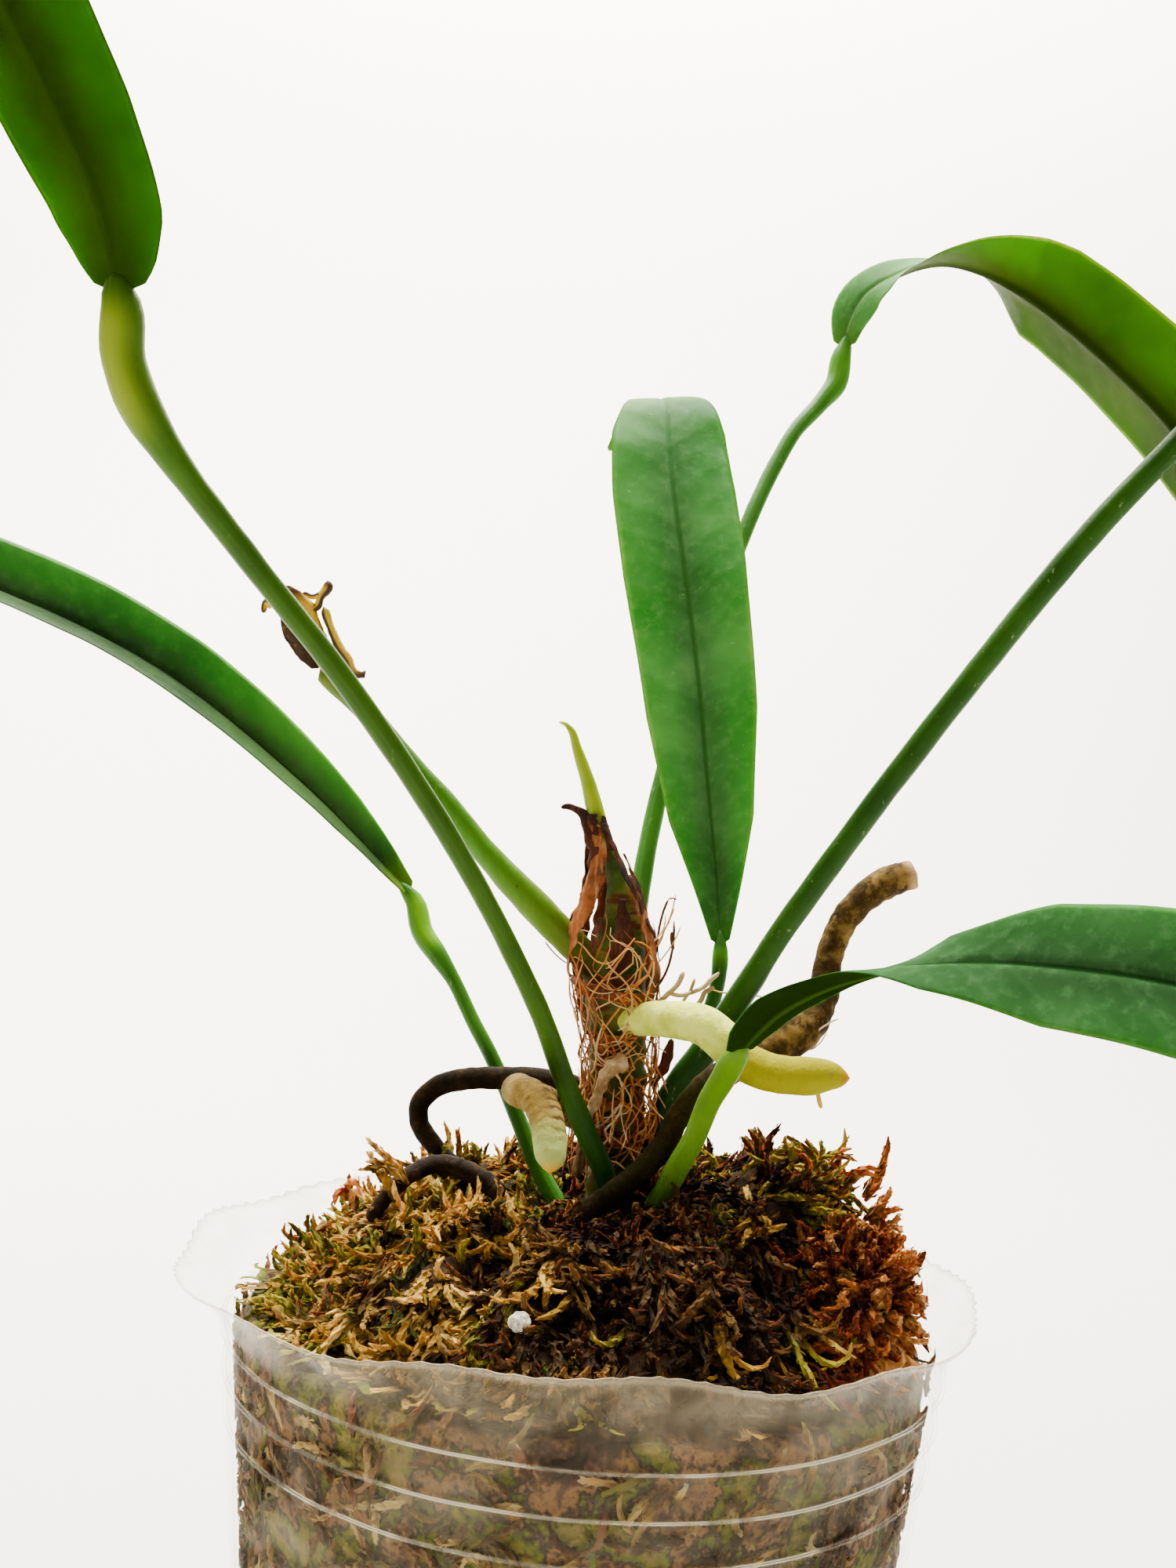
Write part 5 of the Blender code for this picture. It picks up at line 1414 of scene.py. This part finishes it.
def sprigMesh(name, placements):
    # each placement: foot, direction, length, girth, tint, model number, spin
    allVerts, allFaces, allUv, base = [], [], [], 0
    packed, clear, shelf = name == "sphagnum_wall", mossParts["wallClear"], mossParts["shelf"]
    for foot, ahead, length, width, tint, model, spin in placements:
        if packed and foot[2] + ahead[2] * length <= clear:
            continue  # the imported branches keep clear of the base
        middles, offsets, shares, faces = sprigModels[model]
        ahead = unit(np.array(ahead, float))
        across = unit(np.cross(ahead, (0.02, 0.03, 1) if abs(ahead[2]) < 0.97 else (1, 0.1, 0)))
        over = np.cross(ahead, across)
        first = across * math.cos(spin) + over * math.sin(spin)
        second = np.cross(ahead, first)
        local = middles * length + offsets * width
        laid = np.array(foot) + first * local[:, :1] + second * local[:, 1:2] + ahead * local[:, 2:]
        if not packed:
            # the mound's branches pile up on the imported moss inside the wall
            laid[:, 2] = np.where(laid[:, 2] < shelf, shelf + 0.15 * (laid[:, 2] - shelf), laid[:, 2])
        laid[:, 2] = np.maximum(laid[:, 2], mossParts["floorGap"])
        # what would reach through the pot is pressed flat against its inside
        radius, over = np.hypot(laid[:, 0], laid[:, 1]), laid[:, 2] - mossParts["rimStart"]
        limit = wallInside(np.minimum(laid[:, 2], mossParts["rimStart"])) - 0.1 - np.clip(over * 0.2, 0, 2)
        laid[:, :2] *= np.minimum(1, limit / np.maximum(radius, 0.1))[:, None]
        allVerts.append(laid)
        for face in faces:
            allFaces.append(tuple(base + corner for corner in face))
            allUv += [(tint, shares[corner]) for corner in face]
        base += len(shares)
    return meshPiece(name, np.concatenate(allVerts) * mm, allFaces, allUv)


def mossMaterial(name, tints, shade):
    # dried sphagnum: papery translucent scale leaves, pale where dry, with painted shade at the foot of each
    # branch and in blotches between clumps
    material, tree, shader = newMaterial(name, 0.85, specularIORLevel=0.1, subsurfaceWeight=0.25,
                                         subsurfaceScale=0.0012)
    tint, along = uvPart(tree, 0), uvPart(tree, 1)
    tone = addNode(tree, "ValToRGB", tint,
                   stops=[(i / (len(tints) - 1), colour) for i, colour in enumerate(tints)])
    # painted shade: each branch darkens towards its foot, where it sinks into the mound
    tone = overlay(tree, tone, shade, along, 0.0, 0.45, 0.85, 0.0)
    # painted shade in blotches, for the dark crevices between clumps
    tone = overlay(tree, tone, shade, objectNoise(tree, 7, 4), 0.5, 0.62, 0.0, 0.75)
    feed(shader, "Base Color", tone)
    feed(shader, "Normal", addNode(tree, "Bump", 1.0, 0.1 * mm, None, objectNoise(tree, 0.5, 3)))
    return material


# each kind: its tints, then the dark colour painted as shade
mossKinds = {
    "green": (["#2c3408", "#4c500a", "#706c12", "#948a28"], "#181204"),
    "tan": (["#60480e", "#8e6a1e", "#b48c34", "#d0ac5c"], "#26180a"),
    "dark": (["#160e05", "#2c1d0b", "#453014", "#5c451d"], "#0a0502"),
    "orange": (["#4c1e08", "#763810", "#98561e", "#b48044"], "#220c03"),
    "wall": (["#3e2e1a", "#846838", "#566020", "#66402e", "#a48a50", "#443e3c"], "#241812"),
}


def mossKindAt(x, y, z, chance):
    # which moss grows where: green at the left and top, dark in front, orange at the right
    weights = {
        "green": 0.5 + 1.2 * max(0, -x / 40) + 0.6 * max(0, (z - 88) / 10),
        "tan": 0.4 + 1.6 * max(0, 1 - abs(x + 22) / 24),
        "dark": (0.4 + 3.4 * max(0, 1 - math.hypot(x - 5, y + 32) / 25)
                 + 1.0 * max(0, 1 - math.hypot(x - 8, y) / 26)),
        "orange": 0.02 + 2.2 * max(0, (x - 18) / 24),
    }
    total = chance.random() * sum(weight**2 for weight in weights.values())
    for kind, weight in weights.items():
        total -= weight**2
        if total <= 0:
            return kind
    return "tan"


def makeSprigs():
    chance = random.Random(11)
    groups = {kind: [] for kind in mossKinds}

    def sprig(kind, foot, ahead, scale=1.0, tint=None, girth=1.0):
        tint = chance.random() if tint is None else min(max(tint + chance.uniform(-0.15, 0.15), 0), 1)
        groups[kind].append((foot, ahead, chance.uniform(*mossParts["sprigLength"]) * scale,
                             chance.uniform(*mossParts["sprigWidth"]) * girth, tint,
                             chance.randrange(len(sprigModels)), anyTurn()))

    def anyTurn():
        return chance.uniform(0, fullTurn)

    def scatter(*spreads):
        return [chance.gauss(0, spread) for spread in spreads]

    def between(*spans):
        return [chance.uniform(*span) for span in spans]

    for _ in range(mossParts["tufts"]):
        # tufts of branches lie on the mound like shaggy fur, most of them hanging outwards
        radius = mossParts["tuftReach"] * math.sqrt(chance.random())
        out = outward(anyTurn())
        x, y, _ = radius * out
        normal = unit(np.array([mossTop(x - 0.5, y) - mossTop(x + 0.5, y),
                                mossTop(x, y - 0.5) - mossTop(x, y + 0.5), 1]))
        swirl = np.array(between((-1, 1), (-1, 1), (-0.9, 0.4)))
        lift = chance.uniform(-0.1, 0.45)
        ahead = out * (0.1 + radius / 60) + swirl * 0.9
        ahead = unit(ahead - normal * ahead.dot(normal)) + normal * lift
        kind = mossKindAt(x, y, mossTop(x, y), chance)
        tint, scale = chance.random(), chance.uniform(0.75, 1.1)
        for _ in range(chance.randint(*mossParts["tuftBranches"])):
            foot = np.array([x, y, 0]) + [*scatter(1.1, 1.1), 0]
            foot[2] = mossTop(foot[0], foot[1]) - 1.3
            sprig(kind, foot, ahead + scatter(0.18, 0.18, 0.15), scale * (1 - 0.35 * (radius / 42)**4), tint)
    for _ in range(mossParts["locks"]):
        # long locks that hang down the mound's outer face
        out, radius = outward(anyTurn()), chance.uniform(*mossParts["lockReach"])
        x, y, _ = radius * out
        z = mossTop(x, y)
        ahead = out * chance.uniform(0.35, 0.8) + [*between((-0.4, 0.4), (-0.4, 0.4)), -0.8]
        kind, tint, scale = mossKindAt(x, y, z, chance), chance.random(), chance.uniform(1.0, 1.35)
        for _ in range(chance.randint(*mossParts["lockBranches"])):
            foot = np.array([x, y, z]) + [*scatter(0.9, 0.9), chance.uniform(-0.3, 0.9)]
            sprig(kind, foot, ahead + scatter(0.12, 0.12, 0.1), scale, tint)
    for _ in range(mossParts["groundSprigs"]):
        # short flat branches that cover the core between the tufts
        radius, out = mossParts["groundReach"] * math.sqrt(chance.random()), outward(anyTurn())
        x, y, _ = radius * out
        ahead = out + [*scatter(1, 1), -0.5 * radius / mossParts["groundReach"]]
        sprig(mossKindAt(x, y, 85, chance), np.array([x, y, mossTop(x, y) - 1.5]), ahead, 0.75)
    for _ in range(mossParts["edgeSprigs"]):
        # upright ragged tips that make the mound's outline
        out, radius = outward(anyTurn()), chance.uniform(*mossParts["edgeReach"])
        x, y, _ = radius * out
        ahead = out * 0.5 + [*between((-0.6, 0.6), (-0.6, 0.6)), 1]
        sprig(mossKindAt(x, y, 92, chance), np.array([x, y, mossTop(x, y) - 1.2]), ahead, 0.8)
    up = np.array([0, 0, 1])
    for _ in range(mossParts["wallSprigs"]):
        # branches pressed flat against the pot's inside
        out, height = outward(anyTurn()), 2.5 + 71 * chance.random()
        side, heading = np.cross(up, out), anyTurn()
        ahead = side * math.cos(heading) + up * math.sin(heading) - out * 0.10
        sprig("wall", out * (wallInside(height) - 0.5) + up * height, ahead, 0.9, None, 0.95)
    centre, radii = np.array(mossParts["lobeCentre"]), np.array(mossParts["lobeRadii"])
    for _ in range(mossParts["lobeSprigs"]):
        # the loose orange-brown lump at the right
        out = unit(np.array([*scatter(1, 1), chance.gauss(0.2, 1)]))
        foot = centre + out * radii * chance.uniform(0.5, 0.75)
        if math.hypot(foot[0], foot[1]) < mossParts["lobeReach"]:
            sprig("orange", foot, out + between((-0.5, 0.5), (-0.5, 0.5), (-0.5, 0.5)), 0.6)
    for foot, tip, kind, model in mossParts["tips"]:
        foot, tip = np.array(foot, float), np.array(tip, float)
        long = np.linalg.norm(tip - foot)
        for step in range(3):
            groups[kind].append((foot + 0.5 * step * np.array([*between((-1, 1), (-1, 1)), -0.6]), tip - foot,
                                 long * (1.08 - 0.1 * step), 0.7, chance.uniform(0.5, 1), model,
                                 chance.uniform(0, mossParts["tipSpin"])))
    for kind, placements in groups.items():
        piece = sprigMesh("sphagnum_" + kind, placements)
        slotName, node = ("moss_brown", "moss_wad") if kind == "orange" else ("moss", "moss_plug")
        ready(piece, mossMaterial("driedSphagnum_" + kind, *mossKinds[kind]), slotName, node)
    print("sprigs:", {kind: len(placements) for kind, placements in groups.items()})


perlite = {"centre": (-6.7, -35, 85.1), "radius": 1.15, "along": 26, "around": 30,
           "pits": 0.22, "pitSize": 0.55}


def makeGranule():
    # expanded perlite: a white foamed glass bead with pits
    def place(u, v):
        ring, height = np.sin(u * math.pi), np.cos(u * math.pi)
        out, same = (np.stack([ring * np.cos(turn), ring * np.sin(turn), height], axis=1)
                     for turn in turns(v))
        reach = perlite["radius"] * (1 + perlite["pits"] * noiseAt(same, perlite["pitSize"], 91))
        return np.array(perlite["centre"]) + out * reach[:, None]

    bead = wrapGrid("perliteBead", perlite["along"], perlite["around"], place)
    material, tree, shader = newMaterial("foamedPerlite", 0.75, subsurfaceWeight=0.2, subsurfaceScale=0.0008)
    tone = addNode(tree, "ValToRGB", objectNoise(tree, 0.6, 4), stops=[(0.38, "#a89c84"), (0.5, "#eae6d8")])
    feed(shader, "Base Color", tone)
    feed(shader, "Normal", addNode(tree, "Bump", 1.0, 0.2 * mm, None, objectNoise(tree, 0.4, 4)))
    ready(bead, material, "perlite", "perlite_granule")


makeMossCore()
makeSprigs()
makeGranule()
print("moss made")


# Clear nursery pot

potParts = {
    "baseRadius": 37.0, "bandRadius": 45.0, "topRing": 74.0, "rings": 3, "ringStep": 5.1, "ringSwell": 0.5,
    "ringWidth": 0.4, "wall": 0.45, "rimWall": 0.3, "flareStart": 75.5, "rimRadius": 50.3, "rimHeight": 82.4,
    "ribs": 16, "ribDepth": 0.35, "ribTop": 60.0, "crimps": 110, "crimpDepth": 0.22,
    "drains": 8, "drainCircle": 25.0, "drainRadius": 3.0, "drillDepth": 6.0,
}


def potRadius(height, turn):
    look = potParts
    radius = look["baseRadius"] + (look["bandRadius"] - look["baseRadius"]) * height / look["topRing"]
    for ring in range(look["rings"]):
        above = height - look["topRing"] + ring * look["ringStep"]
        radius = radius + look["ringSwell"] * np.exp(-(above / look["ringWidth"])**2)
    rib = np.clip(np.cos(turn * look["ribs"]) - 0.8, 0, 1) / 0.2
    low = np.clip((look["ribTop"] - height) / 3, 0, 1) * np.clip((height - 6) / 4, 0, 1)
    return radius - look["ribDepth"] * rib * low


def drillDrains(pot):
    # the holes in the base that let water out
    look, drills = potParts, []
    for drain in range(look["drains"]):
        spot = outward(fullTurn * drain / look["drains"]) * look["drainCircle"] * mm
        bpy.ops.mesh.primitive_cylinder_add(vertices=32, radius=look["drainRadius"] * mm,
                                            depth=look["drillDepth"] * mm, location=spot)
        drills.append(bpy.context.object)
    drains = pot.modifiers.new("drains", "BOOLEAN")
    drains.operation = "DIFFERENCE"
    drains.solver = "EXACT"
    drains.object = joinAll(drills)
    selectOnly(pot)
    bpy.ops.object.modifier_apply(modifier="drains")
    bpy.data.objects.remove(drills[0], do_unlink=True)


def makePot():
    look = potParts
    # the outer side from rim to base centre, then back up inside: (radius or None, height)
    lip = [(look["rimRadius"], look["rimHeight"]), (50.0, 82.0), (49.3, 81.6), (48.5, 80.9), (47.8, 80.1),
           (47.2, 79.2), (46.7, 78.3), (46.2, 77.4), (45.8, 76.6)]
    sides = [(None, height) for height in (*np.arange(75.4, 58, -0.3), *range(57, 2, -3))]
    outside = lip + sides + [(None, 1.4), (36.6, 0.5)] + [(radius, 0) for radius in (35.8, 30, 20, 10, 0)]
    inside = [(radius, 0.6) for radius in (0, 10, 20, 30, 35.2)] + [(36.0, 1.4)]
    inside += [(None, height) for height in (*range(3, 58, 3), *np.arange(58.3, 75.5, 0.3))] + lip[::-1]
    # the last station is the first again, so that the wall is closed over the lip
    stations = [(r, z, 0.0) for r, z in outside] + [(r, z, 1.0) for r, z in inside] + [(*lip[0], 0.0)]
    count = len(stations) - 1

    def place(u, v):
        turn, closed = turns(v)
        index = np.rint(u * count).astype(int)
        height = np.array([stations[i][1] for i in index], float)
        inner = np.array([stations[i][2] for i in index])
        fixed = np.array([np.nan if stations[i][0] is None else stations[i][0] for i in index], float)
        radius = np.where(np.isnan(fixed), potRadius(height, closed), fixed)
        lift = np.clip((height - look["flareStart"]) / (look["rimHeight"] - look["flareStart"]), 0, 1)
        thick = look["wall"] + (look["rimWall"] - look["wall"]) * lift
        radius = radius - np.where(height > 1.3, inner * thick, 0)
        spread = -1.3 * np.cos(closed) + 0.5 * np.sin(5 * closed) + 0.35 * np.sin(11 * closed + 1)
        raised = (-1.4 * np.cos(2 * closed) - np.sin(closed) + 0.6 * np.cos(closed) + 0.4 * np.sin(7 * closed)
                  + 0.4 * np.sin(13 * closed + 0.6))
        crimp = look["crimpDepth"] * np.sin(look["crimps"] * closed + 2 * np.sin(9 * closed))
        edge = np.clip((lift - 0.72) / 0.28, 0, 1)
        radius = radius + lift * spread + edge * crimp
        height = height + lift * raised + edge * 0.8 * crimp
        wavy = np.stack([radius * np.cos(closed), radius * np.sin(closed), height], axis=1)
        side = np.clip((height - 3) / 6, 0, 1)
        dent = noiseAt(wavy * (1, 1, 0.6), 13, 101) * 0.32 + noiseAt(wavy, 4.5, 103) * 0.08
        radius = radius + side * dent - 0.3 * side
        return np.stack([radius * np.cos(turn), radius * np.sin(turn), height], axis=1)

    pot = wrapGrid("clearPot", count, 330, place)
    drillDrains(pot)
    # thermoformed clear plastic, scuffed and misted: mostly see-through, milky where it is thick or dirty,
    # with painted highlights along the rings
    material, tree, shader = newMaterial("hazyClearPlastic", 0.2, specularIORLevel=0.35, coatWeight=0.15,
                                         coatRoughness=0.08)
    height = coordPart(tree, "Object", 2)
    haze = objectNoise(tree, 14, 5, 0.6, (1, 1, 1.3))
    streak = objectNoise(tree, 2.4, 5, 0.7, (0.35, 0.35, 1.6), 0.6)
    mist = addNode(tree, "ValToRGB", haze, stops=[(0.3, "#8a7e68"), (0.5, "#ac9e82"), (0.7, "#ccbe9e")])
    alpha = addNode(tree, "Math", addNode(tree, "MapRange", haze, 0.35, 0.7, 0.01, 0.08, **eased),
                    addNode(tree, "MapRange", streak, 0.58, 0.76, 0.0, 0.12, **eased), operation="ADD")
    # painted highlight: a thin cream, more opaque line along each ring's crest, where light catches the bead
    for ring in range(look["rings"]):
        middle = (look["topRing"] - ring * look["ringStep"]) * mm
        away = addNode(tree, "Math", addNode(tree, "Math", height, middle, operation="SUBTRACT"),
                       operation="ABSOLUTE")
        paintedRingGlint = addNode(tree, "MapRange", away, 0.0, 0.00022, 1.0, 0.0, **eased)
        paintedRingGlint = addNode(tree, "Math", paintedRingGlint, addNode(tree, "MapRange", haze, 0.4, 0.56, 0.35, 1.0, **eased),
                        operation="MULTIPLY")
        alpha = addNode(tree, "Math", alpha, addNode(tree, "Math", paintedRingGlint, 0.42, operation="MULTIPLY"),
                        operation="ADD")
        mist = addNode(tree, "Mix", paintedRingGlint, mist, "#f4e6c8", **inColour)
    # plastic seen edge-on is cloudier, as light crosses more of it
    slant = addNode(tree, "LayerWeight", 0.35).node.outputs["Facing"]
    alpha = addNode(tree, "Math", alpha, addNode(tree, "MapRange", slant, 0.65, 1.0, 0.0, 0.2, **eased),
                    operation="ADD")
    # the flared rim is cloudy in patches, where the plastic stretched
    fromLip = addNode(tree, "Math", uvPart(tree, 0), 0.5, operation="PINGPONG")
    lipShare = len(lip) / count
    flare = addNode(tree, "MapRange", fromLip, 0.5 * lipShare, 1.1 * lipShare, 1.0, 0.0, **eased)
    patchy = objectNoise(tree, 6, 4, 0.65, (1, 1, 0.5), 0.8)
    cloud = addNode(tree, "MapRange", patchy, 0.4, 0.64, 0.04, 0.12, **eased)
    cloud = addNode(tree, "Math", flare, cloud, operation="MULTIPLY")
    alpha = addNode(tree, "Math", alpha, cloud, operation="ADD")
    flare = addNode(tree, "Math", flare, 0.8, operation="MULTIPLY")
    mist = addNode(tree, "Mix", flare, mist, "#b4a486", **inColour)
    alpha = addNode(tree, "Math", alpha,
                    addNode(tree, "MapRange", fromLip, 0.0, 0.3 * lipShare, 0.34, 0.0, **eased),
                    operation="ADD", use_clamp=True)
    feed(shader, "Alpha", alpha)
    feed(shader, "Base Color", mist)
    feed(shader, "Roughness", addNode(tree, "MapRange", streak, 0.3, 0.8, 0.12, 0.4))
    feed(shader, "Normal", addNode(tree, "Bump", 0.6, 0.06 * mm, None, streak))
    ready(pot, material, "clear_plastic", "nursery_pot")
    print("pot made")


makePot()
